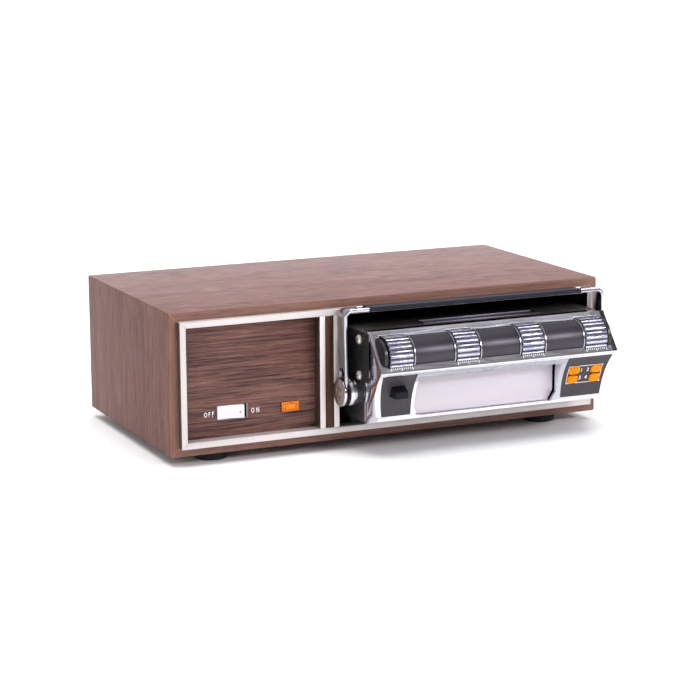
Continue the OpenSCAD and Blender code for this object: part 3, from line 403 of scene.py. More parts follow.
# painted shade: dark brown for the cross recess in each side screw
MAT["mark"] = plastic("screw_cross_painted_shade", srgb(40, 34, 30), rough=(0.4, 0.5))
MAT["ring"] = metal("cover_ring", (0.20, 0.19, 0.24), rough=(0.25, 0.35), tint=(0.14, 0.13, 0.17))


# ------------------------------------------------------------------ mesh kit
def finish_mesh(ob, sharp=38.0):
    me = ob.data
    me.shade_smooth()
    me.set_sharp_from_angle(angle=math.radians(sharp))


def bake(ob):
    """Applies the object's modifiers."""
    bpy.context.view_layer.update()
    dg = bpy.context.evaluated_depsgraph_get()
    me = bpy.data.meshes.new_from_object(ob.evaluated_get(dg))
    ob.modifiers.clear()
    ob.data = me
    me.name = ob.name


def link(name, me, mats):
    ob = bpy.data.objects.new(name, me)
    scene.collection.objects.link(ob)
    for k in mats:
        me.materials.append(MAT[k])
    return ob


def carry(ob, body, slot, *nodes):
    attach(ob, body)
    if nodes:
        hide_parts(*nodes)
    return ob


def from_bm(name, bm, mats, in_mm=True, recalc=True):
    if recalc:
        bmesh.ops.recalc_face_normals(bm, faces=bm.faces)
    me = bpy.data.meshes.new(name)
    bm.to_mesh(me)
    bm.free()
    if in_mm:
        me.transform(ROW)
    return link(name, me, mats)


def paint(ob, pick):
    """Sets each face's material from its centre and direction, in millimetres."""
    for p in ob.data.polygons:
        p.material_index = pick(INV @ p.center, p.normal)


def clean_copy(node, flat=0.3, merge=1e-6, splits=()):
    """The node's mesh with flat neighbouring triangles joined into whole faces.
    Faces with holes are split along the given planes, so that no face goes all round a hole."""
    bm = bmesh.new()
    bm.from_mesh(NODE[node].data)
    bmesh.ops.remove_doubles(bm, verts=bm.verts, dist=merge)
    for axis, at in splits:
        co = ROW @ Vector([at if axis == k else 0.0 for k in "XYZ"])
        no = [1.0 if axis == k else 0.0 for k in "XYZ"]
        done = bmesh.ops.bisect_plane(bm, geom=bm.verts[:] + bm.edges[:] + bm.faces[:], dist=1e-7, plane_co=co, plane_no=no)
        for e in done["geom_cut"]:
            if isinstance(e, bmesh.types.BMEdge):
                e.seam = True
    bmesh.ops.dissolve_limit(bm, angle_limit=math.radians(flat), verts=bm.verts, edges=bm.edges, delimit={"SEAM"})
    bmesh.ops.recalc_face_normals(bm, faces=bm.faces)
    out = bmesh.new()
    vs = [out.verts.new(v.co) for v in bm.verts]
    bm.verts.index_update()
    for f in bm.faces:
        try:
            out.faces.new([vs[v.index] for v in f.verts])
        except ValueError:
            pass
    bm.free()
    loose = [v for v in out.verts if not v.link_faces]
    bmesh.ops.delete(out, geom=loose, context="VERTS")
    return out


def refine(node, mats, width=0.25, seg=2, angle=32.0, pick=None, name=None, edit=None, sharp=38.0, clamp=True, splits=()):
    """A finished copy of a node: rounded edges, smooth curves, and a material for each area."""
    bm = clean_copy(node, splits=splits)
    if edit:
        bmesh.ops.transform(bm, matrix=INV, verts=bm.verts)
        edit(bm)
        bmesh.ops.transform(bm, matrix=ROW, verts=bm.verts)
    ob = from_bm(name or node + "_finish", bm, mats, in_mm=False)
    if width:
        b = ob.modifiers.new("edge", "BEVEL")
        b.width = width * MM
        b.segments = seg
        b.limit_method = "ANGLE"
        b.angle_limit = math.radians(angle)
        b.use_clamp_overlap = clamp
        b.harden_normals = False
        b.miter_outer = "MITER_ARC"
        bake(ob)
    finish_mesh(ob, sharp)
    if pick:
        paint(ob, pick)
    return carry(ob, BODY_OF[node], SLOT_OF[node], node)


def skin(bm, rings, close_ring=True, close_all=False, mat=0):
    """Faces between rings of points; every ring has the same number of points."""
    vs = [[bm.verts.new(p) for p in r] for r in rings]
    n = len(vs[0])
    faces = []
    pairs = list(zip(vs, vs[1:])) + ([(vs[-1], vs[0])] if close_all else [])
    for a, b in pairs:
        for i in range(n if close_ring else n - 1):
            j = (i + 1) % n
            f = bm.faces.new((a[i], a[j], b[j], b[i]))
            f.material_index = mat
            faces.append(f)
    return vs, faces


# ------------------------------------------------------------------ the cabinet's four panels
CW, CD, CH, WALL = 350.0, 182.0, 105.5, 6.4


def panel(name, length, to_xz, mats, node):
    """One wooden panel. u runs along it, v from its inner face (0) to its outer face (WALL).
    Its outer long edges and front edge are rounded, and each mitre has a fine chamfer that shows the raw core."""
    rho, chamfer = 1.5, 0.20

    def outline(o, m):
        pts = [(WALL + m * 1.4142, 0.0)]
        r = rho - o
        a0 = 135.0 - math.degrees(math.asin(min(1.0, m / max(r, 0.05))))
        for k in range(5):
            a = math.radians(a0 + (90.0 - a0) * k / 4)
            pts.append((rho + r * math.cos(a), WALL - rho + r * math.sin(a)))
        right = [(length - u, v) for u, v in reversed(pts)]
        return pts + right

    n = len(outline(0, 0))
    rings = []
    deep = 0.5
    for k in range(4):
        a = math.radians(90 - k * 30)
        inset = deep * (1 - math.cos(math.radians(k * 30)))
        o = deep * (1 - math.sin(math.radians(90 - 0))) if k == 3 else deep * (1 - math.sin(math.radians(k * 30)))
        y = deep * (1 - math.cos(math.radians(k * 30)))
        m = chamfer * (1 - k / 3)
        rings.append([(*(to_xz(u, v)), y) for u, v in outline(o, m)])
    for k in range(5):
        t = math.radians(k * 22.5)
        rings.append([(*(to_xz(u, v)), CD - 1.2 * (1 - math.sin(t))) for u, v in outline(1.2 * (1 - math.cos(t)), 0)])
    rings = [[(x, y, z) for (x, z, y) in r] for r in rings]
    bm = bmesh.new()
    vs, faces = skin(bm, rings)
    # side faces: point 0 and n-1 bound the inner face; 0-1 and n-2 - n-1 are the mitres
    for ring_i in range(len(rings) - 1):
        for i in range(n):
            f = faces[ring_i * n + i]
            if i == n - 1:
                f.material_index = 3
            elif i in (0, n - 2):
                f.material_index = 2
            else:
                f.material_index = 1 if ring_i < 2 else 0
    # the front end and the front rounding (rings 0 and 1) carry the darker front copy, index 1, a painted shade
    bm.faces.new(vs[0]).material_index = 1
    bm.faces.new(list(reversed(vs[-1]))).material_index = 3
    ob = from_bm(name, bm, mats)
    finish_mesh(ob, 34)
    return carry(ob, "cabinet", "walnut_veneer", node)


panel("wood_top", CW, lambda u, v: (u, CH - WALL + v), ["walnutX", "edgeX", "mitre", "board"], "top_panel")
bottom = panel("wood_bottom", CW, lambda u, v: (u, WALL - v), ["walnutX", "edgeX", "mitre", "board"], "bottom_panel")
panel("wood_left", CH, lambda u, v: (WALL - v, u), ["walnutZ", "edgeZ", "mitre", "board"], "left_side_panel")
panel("wood_right", CH, lambda u, v: (CW - WALL + v, u), ["walnutZ", "edgeZ", "mitre", "board"], "right_side_panel")


def cut(ob, boxes, rods):
    """Cuts boxes and upright holes out of a piece."""
    bm = bmesh.new()
    for x0, x1, y0, y1, z0, z1 in boxes:
        c = bmesh.ops.create_cube(bm, size=1.0)
        bmesh.ops.transform(bm, verts=c["verts"], matrix=Matrix.Translation(((x0 + x1) / 2, (y0 + y1) / 2, (z0 + z1) / 2))
                            @ Matrix.Diagonal((x1 - x0, y1 - y0, z1 - z0, 1)))
    for x, y, z0, z1, r in rods:
        c = bmesh.ops.create_cone(bm, cap_ends=True, segments=32, radius1=r, radius2=r, depth=z1 - z0)
        bmesh.ops.transform(bm, verts=c["verts"], matrix=Matrix.Translation((x, y, (z0 + z1) / 2)))
    tool = from_bm("cutter", bm, ["board"])
    md = ob.modifiers.new("cut", "BOOLEAN")
    md.operation, md.object, md.solver = "DIFFERENCE", tool, "EXACT"
    md.material_mode = "TRANSFER"
    bake(ob)
    bpy.data.objects.remove(tool)
    finish_mesh(ob, 34)


cut(bottom, [(26 + 8 * i, 29 + 8 * i, 92, 148, -1, WALL + 1) for i in range(6)],
    [(x, y, -1, 3.2, 1.5) for x in (38, CW - 38) for y in (20, CD - 20)])

# ------------------------------------------------------------------ front frame and control panel
refine("trim_top", ["trimX"], 0.28, 3)
refine("trim_bottom", ["trimX"], 0.28, 3)
# the trims' side faces take the dark copy, a painted shade
refine("trim_sides", ["trimZ", "trim_side_shade"], 0.28, 3, pick=lambda c, n: 1 if abs(n.x) > 0.9 else 0)
# the divider strips take the lighter copy (painted light) on their fronts and the dark copy (painted shade) on their
# sides
refine("divider_trim", ["trim_bright", "trim_side_shade"], 0.28, 3, pick=lambda c, n: 1 if abs(n.x) > 0.9 else 0)
refine("divider_board", ["fasciaZ", "board"], 0.15, 2, pick=lambda c, n: 0 if c.y < 4.6 else 1)
refine("control_panel", ["fasciaX", "board"], 0.15, 2, pick=lambda c, n: 1 if c.y > 6.9 else 0)
refine("rocker_housing", ["switch_black", "brass", "rim"], 0.1, 1, pick=lambda c, n: 1 if c.y > 20.2 else (2 if c.y < 4.5 else 0))
refine("power_rocker", ["white"], 0.45, 4)
refine("pilot_lens", ["pilot", "pilot_step", "pilot_edge"], 0.3, 3, pick=lambda c, n: 1 if c.y < 2.75 else (2 if n.y > -0.6 else 0))
refine("rear_panel", ["board"], 0.12, 1)
refine("corner_blocks", ["soft_wood"], 0.3, 2)
refine("rubber_feet", ["rubber"], 0.3, 2)
refine("cabinet_screws", ["screw"], 0.2, 2)
refine("audio_jacks", ["zinc", "phenolic"], 0.1, 1, pick=lambda c, n: 1 if c.y < 170.01 and abs(c.z - 30) > 3.4 else 0)
refine("cord_grommet", ["rubber"], 0.2, 2)
refine("dock_shell", ["dock"], 0.2, 2, splits=(("X", 236), ("Z", 57.5)))
refine("dock_connector", ["cream", "brass"], 0.3, 2, pick=lambda c, n: 1 if c.y > 126.2 else 0)
refine("power_transformer", ["laminate", "coil"], 0.3, 2, pick=lambda c, n: 1 if (c.y < 107.9 or c.y > 136.1) else 0)
refine("filter_capacitors", ["sleeve", "zinc"], 0.2, 2, pick=lambda c, n: 1 if c.z > 52.4 else 0)
refine("power_board", ["phenolic", "paint"], 0.1, 1, pick=lambda c, n: 1 if c.z > 14.1 else 0)

# ------------------------------------------------------------------ the player
refine("chassis_tray", ["paint"], 0.25, 2, splits=(("Y", -22.5), ("Y", -16.4), ("Y", 98), ("X", 236), ("Z", 68)))
refine("top_cover", ["cover", "ring"], 0.15, 2, pick=lambda c, n: 1 if c.z > 85.56 else 0, splits=(("Y", 70), ("Y", 98), ("X", 240)))
RIBS = [236 + i * 53.7 + s for i in (-1, 0, 1) for s in (-16.3, 16.3)]


def bezel_pick(c, n):
    down = (c.y + 38.3) * -0.6307 + (c.z - 86.7) * -0.7760
    out = (c.y + 38.3) * -0.7760 + (c.z - 86.7) * 0.6307
    face = n.y * -0.7760 + n.z * 0.6307
    rad = math.hypot(c.y + 44.3, c.z - 69.3)
    # rings beside the wheels: the darker chrome copy, painted shade
    if 11.2 < rad < 14.1 and any(abs(c.x - x) < 0.75 for x in RIBS) and out > -3.3:
        return 1
    if c.z < 24.3 and c.y < -40 and n.z > -0.8 or down > 33.3 and -3.4 < out < 1.4 and n.y < -0.2:
        return 4
    # the wheel cut-outs and the recess floor are painted black as shade
    if abs(rad - 15.0) < 0.2 and (n.y * (c.y + 44.3) + n.z * (c.z - 69.3)) < 0:
        return 2
    if out < -0.45 and 4.6 < down < 29.8 and abs(c.x - 236) < 95 and rad < 25:
        return 2
    # the slope face: a top band, and below it the darker chrome copy, painted shade
    if face > 0.9 and abs(out) < 0.4:
        if c.x > 329.5 and 5 < down < 30:
            return 7
        return 5 if down < 6 else 1
    # front faces right of the door and above it: the darker chrome copy, painted shade
    if n.y < -0.6 and c.y > -58.2 and c.z < 58.2 and (289.0 < c.x < 294.5 or 164 < c.x < 290 and c.z > 50):
        return 6
    # the end facets: the darker chrome copy, painted shade and reflection
    if abs(n.x) > 0.35 and c.y < -31.5 and abs(c.x - 236) > 88:
        return 3
    return 0


refine("bezel", ["chrome", "lip_chrome", "recess", "side_chrome_painted_shade", "lip_white", "lip_top", "front_grey", "end_dark"], 0.35, 3, pick=bezel_pick,
       splits=[("X", x) for x in (155.45, 209.15, 230.5, 262.85, 302.5, 316.55, 321.6, 329.85)] + [("Y", -22.5), ("Y", -36.5)])
refine("bezel_inlays", ["inlay"], 0.1, 1)
refine("wheel_pads", ["pad", "wheel_end"], 0.4, 3, pick=lambda c, n: 1 if abs(c.x - 236) > 89.6 else 0)
def roll_edges(bm):
    """Rolls the door's front edges over, with the lower one rolled over further."""
    for v in bm.verts:
        if v.co.x > 288.4 and v.co.y < -36:
            v.co.x -= 0.7
    front = [f for f in bm.faces if f.normal.y < -0.9 and f.calc_center_median().y < -41.2]
    edges = [e for f in front for e in f.edges if max(v.co.z for v in e.verts) < 51]
    bmesh.ops.bevel(bm, geom=edges, offset=1.15, offset_type="OFFSET", segments=4, profile=0.5, affect="EDGES", clamp_overlap=True)


refine("tape_door", ["door", "turned"], 0.2, 2, edit=roll_edges)
refine("door_hinge_pin", ["turned"], 0.2, 2)
refine("program_button", ["button"], 0.5, 3)


def screw_pick(c, n):
    """The cross in each side screw is darker than its head: painted shade in the recess."""
    rad = min(math.hypot(c.y + 22.5, c.z - z) for z in (52.3, 78.9))
    out = abs(c.x - 236) - 97.6
    return 1 if rad < 1.85 and 1.2 < out and (abs(n.x) < 0.5 or out < 1.45) else 0


refine("chassis_screws", ["screw", "mark"], 0.08, 2, pick=screw_pick)
refine("pivot_bosses", ["boss"], 0.3, 3)
refine("strap_washers", ["fibre"], 0.15, 2)
refine("rear_plug", ["cream", "brass"], 0.4, 2)
# the legs' side faces take the beige satin copy, a painted reflection
refine("handle_strap", ["strap", "strap_side"], 0.3, 2, pick=lambda c, n: 1 if abs(n.x) > 0.8 and abs(c.x - 236) > 108 else 0)
refine("handle_grip", ["grip"], 0.3, 3)
for side in ("left", "right"):
    ob = refine("clamp_knob_" + side, ["knob_rim", "knob_face", "knob_core"], 0.25, 3)
    for f in ob.data.polygons:
        c, far = INV @ f.center, 0.0
        for v in f.vertices:
            q = INV @ ob.data.vertices[v].co
            far = max(far, math.hypot(q.y + 16.4, q.z - 39.3))
        out = abs(c.x - 236) - 109
        if far < 4.4 and out > 1.5:
            f.material_index = 2
        elif far < 9.9 and out > 1.5 and abs(f.normal.x) > 0.6:
            f.material_index = 1
refine("cartridge_well", ["zinc"], 0.2, 2, splits=(("X", 230), ("Y", 26)))


def board_pick(c, n):
    """The board, its blue capacitors, black blocks and plated posts."""
    if c.z < 66.9:
        return 3
    if c.z < 68.65:
        return 0
    return 1 if min(math.hypot(c.x - x, c.y - y) for x, y in ((160, 10), (185, 30), (300, 20), (310, 60), (240, -6))) < 4.7 else 2


refine("amplifier_board", ["phenolic", "sleeve", "switch_black", "zinc"], 0.15, 1, pick=board_pick)
refine("heat_sink", ["fin"], 0.2, 1)
refine("motor", ["zinc"], 0.6, 3)
refine("motor_pulley", ["brass"], 0.15, 2)
refine("drive_belt", ["belt"], 0.1, 1, angle=60)
refine("flywheel", ["turned"], 0.3, 2)
refine("bearing_plate", ["zinc"], 0.2, 2)
refine("head_carriage", ["cast"], 0.4, 2)
refine("tape_head", ["head"], 0.3, 2)
refine("program_cam", ["nylon"], 0.3, 2)
refine("solenoid", ["zinc", "coil"], 0.2, 2, pick=lambda c, n: 1 if c.x > 244.9 and c.z > 19.8 and c.y > 83.9 else 0)
refine("control_pots", ["phenolic", "zinc"], 0.2, 1, pick=lambda c, n: 1 if c.y < -27.6 and math.hypot(c.y + 44.3, c.z - 69.3) < 8.2 else 0)
refine("track_lamps", ["phenolic", "nylon"], 0.1, 1, pick=lambda c, n: 1 if c.y < -38.05 else 0)


def thumbwheel(node, xc):
    """A ribbed wheel: 24 ribs with round-bottomed grooves and chamfered ends, dished sides and a bore."""
    ribs, big, cy, cz, w = 24, 14.5, -44.3, 69.3, 19.0
    half = [(0.0, 0), (1.3, 0), (2.5, 0), (3.5, 0), (4.9, 14.16), (5.35, 14.32), (5.9, 14.42), (6.6, 14.48), (7.5, 14.5)]
    prof = []
    for a, r in half:
        if not r:
            t = math.radians(a)
            r = 14.85 * math.cos(t) - math.sqrt(max(0.0, 1.15 ** 2 - (14.85 * math.sin(t)) ** 2))
        prof.append((a, r))
    prof += [(15 - a, r) for a, r in reversed(prof[1:-1])]
    circ = [(i * 15 + a, r) for i in range(ribs) for a, r in prof]

    def ring(x, limit=99.0, fixed=None):
        out = []
        for a, r in circ:
            q = fixed if fixed else min(r, limit)
            t = math.radians(a)
            out.append((x, cy + q * math.cos(t), cz + q * math.sin(t)))
        return out

    x0, x1 = xc - w / 2, xc + w / 2
    seq = [ring(x0 + 1.0, fixed=3.05), ring(x0 + 0.1, fixed=3.05), ring(x0, fixed=3.2), ring(x0, fixed=5.0), ring(x0 + 0.2, fixed=5.2),
           ring(x0 + 1.0, fixed=5.4), ring(x0 + 1.0, fixed=11.0), ring(x0 + 0.2, fixed=11.2), ring(x0, fixed=11.4), ring(x0, fixed=12.9),
           ring(x0, 13.65), ring(x0 + 0.12, 13.85), ring(x0 + 0.62, 14.38), ring(x0 + 0.9),
           ring(x1 - 0.9), ring(x1 - 0.62, 14.38), ring(x1 - 0.12, 13.85), ring(x1, 13.65),
           ring(x1, fixed=12.9), ring(x1, fixed=11.4), ring(x1 - 0.2, fixed=11.2), ring(x1 - 1.0, fixed=11.0), ring(x1 - 1.0, fixed=5.4),
           ring(x1 - 0.2, fixed=5.2), ring(x1, fixed=5.0), ring(x1, fixed=3.2), ring(x1 - 0.1, fixed=3.05), ring(x1 - 1.0, fixed=3.05)]
    bm = bmesh.new()
    skin(bm, seq, close_all=True)
    ob = from_bm(node + "_finish", bm, ["wheel", "groove", "wheel_end"])
    finish_mesh(ob, 30)

    def pick(c, n):
        rad = math.hypot(c.y - cy, c.z - cz)
        if abs(c.x - xc) > w / 2 - 0.05 or rad < 12.5:
            return 2
        # the grooves take the dark copy, painted shade
        return 1 if rad < 14.12 else 0

    paint(ob, pick)
    carry(ob, BODY_OF[node], SLOT_OF[node], node)


for i, n in enumerate(("volume_wheel", "tone_wheel", "balance_wheel", "fade_wheel")):
    thumbwheel(n, 236 + (i - 1.5) * 53.7)

# ------------------------------------------------------------------ the concave front of the bezel
A, B, Cc = (-58.6, 58.4), (-47.95, 41.15), (-44.4, 23.9)


def circle3(a, b, c):
    d = 2 * (a[0] * (b[1] - c[1]) + b[0] * (c[1] - a[1]) + c[0] * (a[1] - b[1]))
    s = [p[0] ** 2 + p[1] ** 2 for p in (a, b, c)]
    x = (s[0] * (b[1] - c[1]) + s[1] * (c[1] - a[1]) + s[2] * (a[1] - b[1])) / d
    y = (s[0] * (c[0] - b[0]) + s[1] * (a[0] - c[0]) + s[2] * (b[0] - a[0])) / d
    return (x, y), math.hypot(a[0] - x, a[1] - y)


ARC_O, ARC_R = circle3(A, B, Cc)


def face_y(z, grow=0.0):
    """y of the concave face at height z, and of surfaces grow behind it."""
    return ARC_O[0] + math.sqrt((ARC_R + grow) ** 2 - (z - ARC_O[1]) ** 2)


def face_n(z):
    """Outward direction of the concave face at height z, as (y, z)."""
    y = face_y(z)
    dy, dz = ARC_O[0] - y, ARC_O[1] - z
    k = math.hypot(dy, dz)
    return dy / k, dz / k


def lens(bm, cx, cz, w=9.4, h=6.5, rise=1.5):
    """A pillow-shaped lens with rounded corners on the concave face, and a plain body through the bezel."""
    nu, rings = 48, []

    def outline(k, grow):
        pts = []
        for i in range(nu):
            t = 2 * math.pi * i / nu
            c, s = math.cos(t), math.sin(t)
            e = 0.56
            x = math.copysign(abs(c) ** e, c) * (w / 2) * k
            z = math.copysign(abs(s) ** e, s) * (h / 2) * k
            ny, nz = face_n(cz)
            base = face_y(cz + z)
            pts.append((cx + x, base + ny * grow, cz + z))
        return pts

    rings.append(outline(1.0, -2.4))
    rings.append(outline(1.0, 0.10))
    for k, g in ((0.985, 0.45), (0.94, 0.80), (0.85, 1.10), (0.70, 1.32), (0.45, 1.46), (0.2, 1.5)):
        rings.append(outline(k, g * rise / 1.5))
    vs, _ = skin(bm, rings)
    bm.faces.new(vs[-1])
    bm.faces.new(list(reversed(vs[0])))


bm = bmesh.new()
for c in ((302.5, 45.45), (321.6, 45.45), (302.5, 38.05), (321.6, 38.05)):
    lens(bm, *c)
ob = from_bm("track_lenses_finish", bm, ["amber"])
finish_mesh(ob, 50)
carry(ob, "player", "track_amber", "track_lenses")


def letters(name, text, at, height, width_k, spacing, facing, mat, body, thick=0.05, bold=0.0, slot=None):
    """Printed characters standing a hair above a surface. facing is the (y, z) direction that they look along, in mm axes."""
    cu = bpy.data.curves.new(name, "FONT")
    cu.body = text
    cu.size = 1.0
    cu.space_character = spacing
    cu.align_x, cu.align_y = "CENTER", "CENTER"
    cu.offset = bold
    cu.resolution_u = 6
    tmp = bpy.data.objects.new(name + "_tmp", cu)
    scene.collection.objects.link(tmp)
    bpy.context.view_layer.update()
    dg = bpy.context.evaluated_depsgraph_get()
    me = bpy.data.meshes.new_from_object(tmp.evaluated_get(dg))
    bpy.data.objects.remove(tmp)
    xs = [v.co.x for v in me.vertices]
    ys = [v.co.y for v in me.vertices]
    k = height / (max(ys) - min(ys))
    mx, my = (max(xs) + min(xs)) / 2, (max(ys) + min(ys)) / 2
    bm = bmesh.new()
    bm.from_mesh(me)
    ny, nz = facing
    right, up, out = Vector((1, 0, 0)), Vector((0, nz, -ny)), Vector((0, ny, nz))
    if up.z < 0:
        up = -up
    for v in bm.verts:
        p = Vector(at) + right * (v.co.x - mx) * k * width_k + up * (v.co.y - my) * k
        v.co = p
    ext = bmesh.ops.extrude_face_region(bm, geom=list(bm.faces))
    moved = [g for g in ext["geom"] if isinstance(g, bmesh.types.BMVert)]
    bmesh.ops.translate(bm, vec=out * thick, verts=moved)
    ob = from_bm(name, bm, [mat])
    return carry(ob, body, slot)


for k, (ch, x, z) in enumerate((("O", 28.45, 28.0), ("F", 31.45, 28.1), ("F", 34.2, 28.2))):
    letters("label_off_%d" % k, ch, (x, 4.49, z), 3.7, 0.66, 1.0, (-1, 0), "ink", "cabinet", bold=0.028, slot="switch_white")
for k, (ch, x, z) in enumerate((("O", 65.2, 27.9), ("N", 69.1, 27.9))):
    letters("label_on_%d" % k, ch, (x, 4.49, z), 3.7, 0.66, 1.0, (-1, 0), "ink", "cabinet", bold=0.028, slot="switch_white")
for t, (x, z) in (("1", (308.9, 45.3)), ("2", (314.35, 45.4)), ("3", (308.85, 39.0)), ("4", (314.0, 39.1))):
    ny, nz = face_n(z)
    letters("number_" + t, t, (x, face_y(z) + 0.19, z), 3.3, 0.95, 1.0, (ny, nz), "ink", "player", bold=0.02, slot="switch_white")


def face_strip(bm, pts, width, lift=0.03):
    """A thin printed line on the concave face. pts are (x, z) corners; the line is closed."""
    n = len(pts)
    dense = []
    for i in range(n):
        (x0, z0), (x1, z1) = pts[i], pts[(i + 1) % n]
        for k in range(8):
            dense.append((x0 + (x1 - x0) * k / 8, z0 + (z1 - z0) * k / 8))
    cx = sum(p[0] for p in pts) / n
    cz = sum(p[1] for p in pts) / n
    w = max(abs(p[0] - cx) for p in pts)
    h = max(abs(p[1] - cz) for p in pts)
    rings = []
    for k, g in ((0.0, 0.2), (0.0, 0.2 - lift), (1.0, 0.2 - lift), (1.0, 0.2)):
        fx, fz = 1 - k * width / w, 1 - k * width / h
        rings.append([(cx + (x - cx) * fx, face_y(cz + (z - cz) * fz, g), cz + (z - cz) * fz) for x, z in dense])
    skin(bm, rings, close_all=True)


bm = bmesh.new()
face_strip(bm, [(297.35, 34.75), (326.6, 34.75), (326.6, 49.1), (297.35, 49.1)], 0.5)
ob = from_bm("lens_frame_line", bm, ["ink"])
carry(ob, "player", "switch_white")

# ticks on the lower lip under each thumbwheel, and a red spot on the rocker
LIP, SLOPE_D, SLOPE_N = (-38.3, 86.7), (-0.6307, -0.7760), (-0.7760, 0.6307)


def on_slope(x, s, n):
    return Vector((x, LIP[0] + SLOPE_D[0] * s + SLOPE_N[0] * n, LIP[1] + SLOPE_D[1] * s + SLOPE_N[1] * n))


bm = bmesh.new()
for i in range(4):
    for k in range(-5, 6):
        x = 236 + (i - 1.5) * 53.7 + k * 1.7
        s0, s1, w = 30.2, (32.9 if k % 5 == 0 else 31.9), 0.26
        low = [bm.verts.new(on_slope(x + a, s, 0.0)) for a, s in ((-w, s0), (w, s0), (w, s1), (-w, s1))]
        top = [bm.verts.new(on_slope(x + a, s, 0.04)) for a, s in ((-w, s0), (w, s0), (w, s1), (-w, s1))]
        bm.faces.new(top)
        bm.faces.new(list(reversed(low)))
        for j in range(4):
            bm.faces.new((low[j], low[(j + 1) % 4], top[(j + 1) % 4], top[j]))
ob = from_bm("wheel_ticks", bm, ["ink"])
carry(ob, "player", "switch_white")


def spot(name, centre, axis, r, thick, mat, body, slot):
    """A low dome."""
    z = Vector(axis).normalized()
    u = z.orthogonal().normalized()
    v = z.cross(u)
    rings = []
    for k, h in ((1.0, 0.0), (1.0, 0.4), (0.85, 0.75), (0.5, 0.95), (0.15, 1.0)):
        rings.append([Vector(centre) + (u * math.cos(a * math.pi / 12) + v * math.sin(a * math.pi / 12)) * r * k + z * thick * h for a in range(24)])
    bm = bmesh.new()
    vs, _ = skin(bm, rings)
    bm.faces.new(vs[-1])
    bm.faces.new(list(reversed(vs[0])))
    ob = from_bm(name, bm, [mat])
    finish_mesh(ob, 50)
    return carry(ob, body, slot)


# the rocker's left half lies at this angle when the set is switched off
t = math.radians(-7)
px, py = 7.2, -6.3 + 1.4 * (10.075 - 7.2) / 10.075
spot("rocker_mark", (48.22 + px * math.cos(t) - py * math.sin(t), 9 + px * math.sin(t) + py * math.cos(t) + 0.03, 28.1),
     (-1.4 / 10.075 * 1, -1, 0), 0.72, 0.12, "red", "rocker", "switch_white")

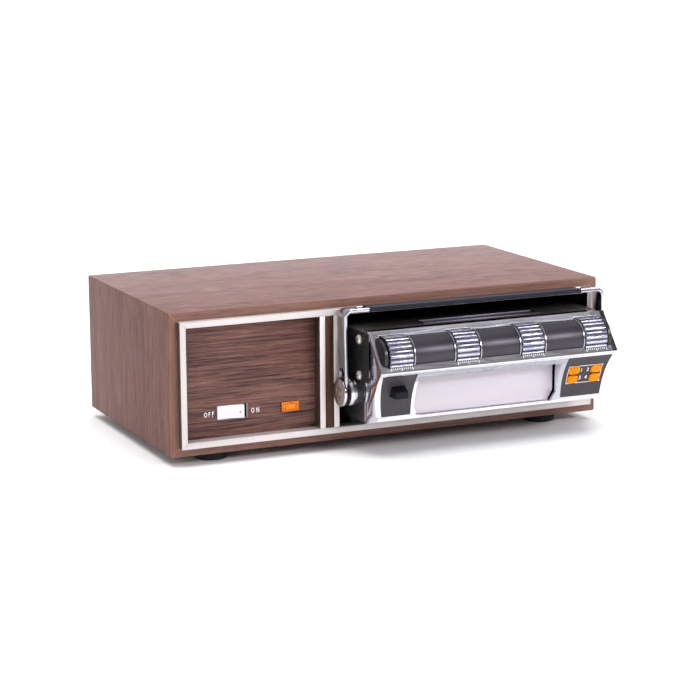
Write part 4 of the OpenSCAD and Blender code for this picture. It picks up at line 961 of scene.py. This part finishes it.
# ------------------------------------------------------------------ floor, light
def studio():
    me = bpy.data.meshes.new("floor")
    s = 9.0
    me.from_pydata([(-s, -s, 0), (s, -s, 0), (s, s, 0), (-s, s, 0)], [], [(0, 1, 2, 3)])
    floor = bpy.data.objects.new("floor", me)
    scene.collection.objects.link(floor)
    m = Mat("floor_white")
    m.set(base=m.mix(m.noise(3), (0.93, 0.93, 0.93), (0.915, 0.915, 0.915)))
    m.b.inputs["Roughness"].default_value = 0.8
    m.b.inputs["Specular IOR Level"].default_value = 0.1
    me.materials.append(m.m)

    w = bpy.data.worlds.new("studio")
    scene.world = w
    w.use_nodes = True
    t = w.node_tree
    t.nodes.clear()
    out = t.nodes.new("ShaderNodeOutputWorld")
    bg = t.nodes.new("ShaderNodeBackground")
    white = t.nodes.new("ShaderNodeBackground")
    white.inputs[0].default_value = (1, 1, 1, 1)
    white.inputs[1].default_value = 1.05
    mixer = t.nodes.new("ShaderNodeMixShader")
    lp = t.nodes.new("ShaderNodeLightPath")
    tc = t.nodes.new("ShaderNodeTexCoord")
    sep = t.nodes.new("ShaderNodeSeparateXYZ")
    ramp = t.nodes.new("ShaderNodeValToRGB")
    def fill(node, stops):
        e = node.color_ramp.elements
        while len(e) < len(stops):
            e.new(0.5)
        for i, (p, v) in enumerate(stops):
            e[i].position = p
            e[i].color = (v, v, v * 1.04, 1)

    back = t.nodes.new("ShaderNodeValToRGB")
    fill(ramp, [(0.0, 0.9), (0.50, 0.55), (0.58, 0.24), (0.66, 0.22), (0.88, 0.26), (0.94, 0.85), (1.0, 1.0)])
    fill(back, [(0.0, 0.9), (0.50, 1.3), (0.60, 1.3), (0.68, 0.55), (0.85, 0.5), (0.94, 0.9), (1.0, 1.0)])
    mr = t.nodes.new("ShaderNodeMapRange")
    mr.inputs[1].default_value, mr.inputs[2].default_value = -1, 1
    side = t.nodes.new("ShaderNodeMapRange")
    side.inputs[1].default_value, side.inputs[2].default_value = -0.25, 0.35
    blend = t.nodes.new("ShaderNodeMix")
    blend.data_type = "RGBA"
    t.links.new(tc.outputs["Generated"], sep.inputs[0])
    t.links.new(sep.outputs[2], mr.inputs[0])
    t.links.new(sep.outputs[1], side.inputs[0])
    t.links.new(mr.outputs[0], ramp.inputs[0])
    t.links.new(mr.outputs[0], back.inputs[0])
    t.links.new(side.outputs[0], blend.inputs[0])
    t.links.new(ramp.outputs[0], blend.inputs[6])
    t.links.new(back.outputs[0], blend.inputs[7])
    t.links.new(blend.outputs[2], bg.inputs[0])
    bg.inputs[1].default_value = 1.15
    t.links.new(lp.outputs["Is Camera Ray"], mixer.inputs[0])
    t.links.new(bg.outputs[0], mixer.inputs[1])
    t.links.new(white.outputs[0], mixer.inputs[2])
    t.links.new(mixer.outputs[0], out.inputs[0])

    sun = bpy.data.lights.new("top_light", "SUN")
    sun.energy = 2.4
    sun.angle = math.radians(50)
    so = bpy.data.objects.new("top_light", sun)
    scene.collection.objects.link(so)
    so.rotation_euler = (math.radians(9), math.radians(-5), 0)
    so.visible_glossy = False

    def area(name, loc, aim, size, power, colour=(1, 1, 1)):
        li = bpy.data.lights.new(name, "AREA")
        li.shape = "RECTANGLE"
        li.size, li.size_y = size
        li.energy = power
        li.color = colour
        o = bpy.data.objects.new(name, li)
        scene.collection.objects.link(o)
        o.location = loc
        o.rotation_euler = (Vector(aim) - Vector(loc)).to_track_quat("-Z", "Y").to_euler()
        o.visible_camera = False
        return o

    lb = area("left_box", (-2.2, -0.9, 1.0), (0, 0, 0.05), (1.2, 1.4), 5)
    lb.visible_glossy = False
    area("key_box", (1.02, -1.72, 1.06), (0.08, -0.1, 0.08), (1.1, 0.40), 24, (0.98, 0.96, 1.0))


studio()
scene.view_settings.view_transform = "Standard"
scene.view_settings.look = "None"
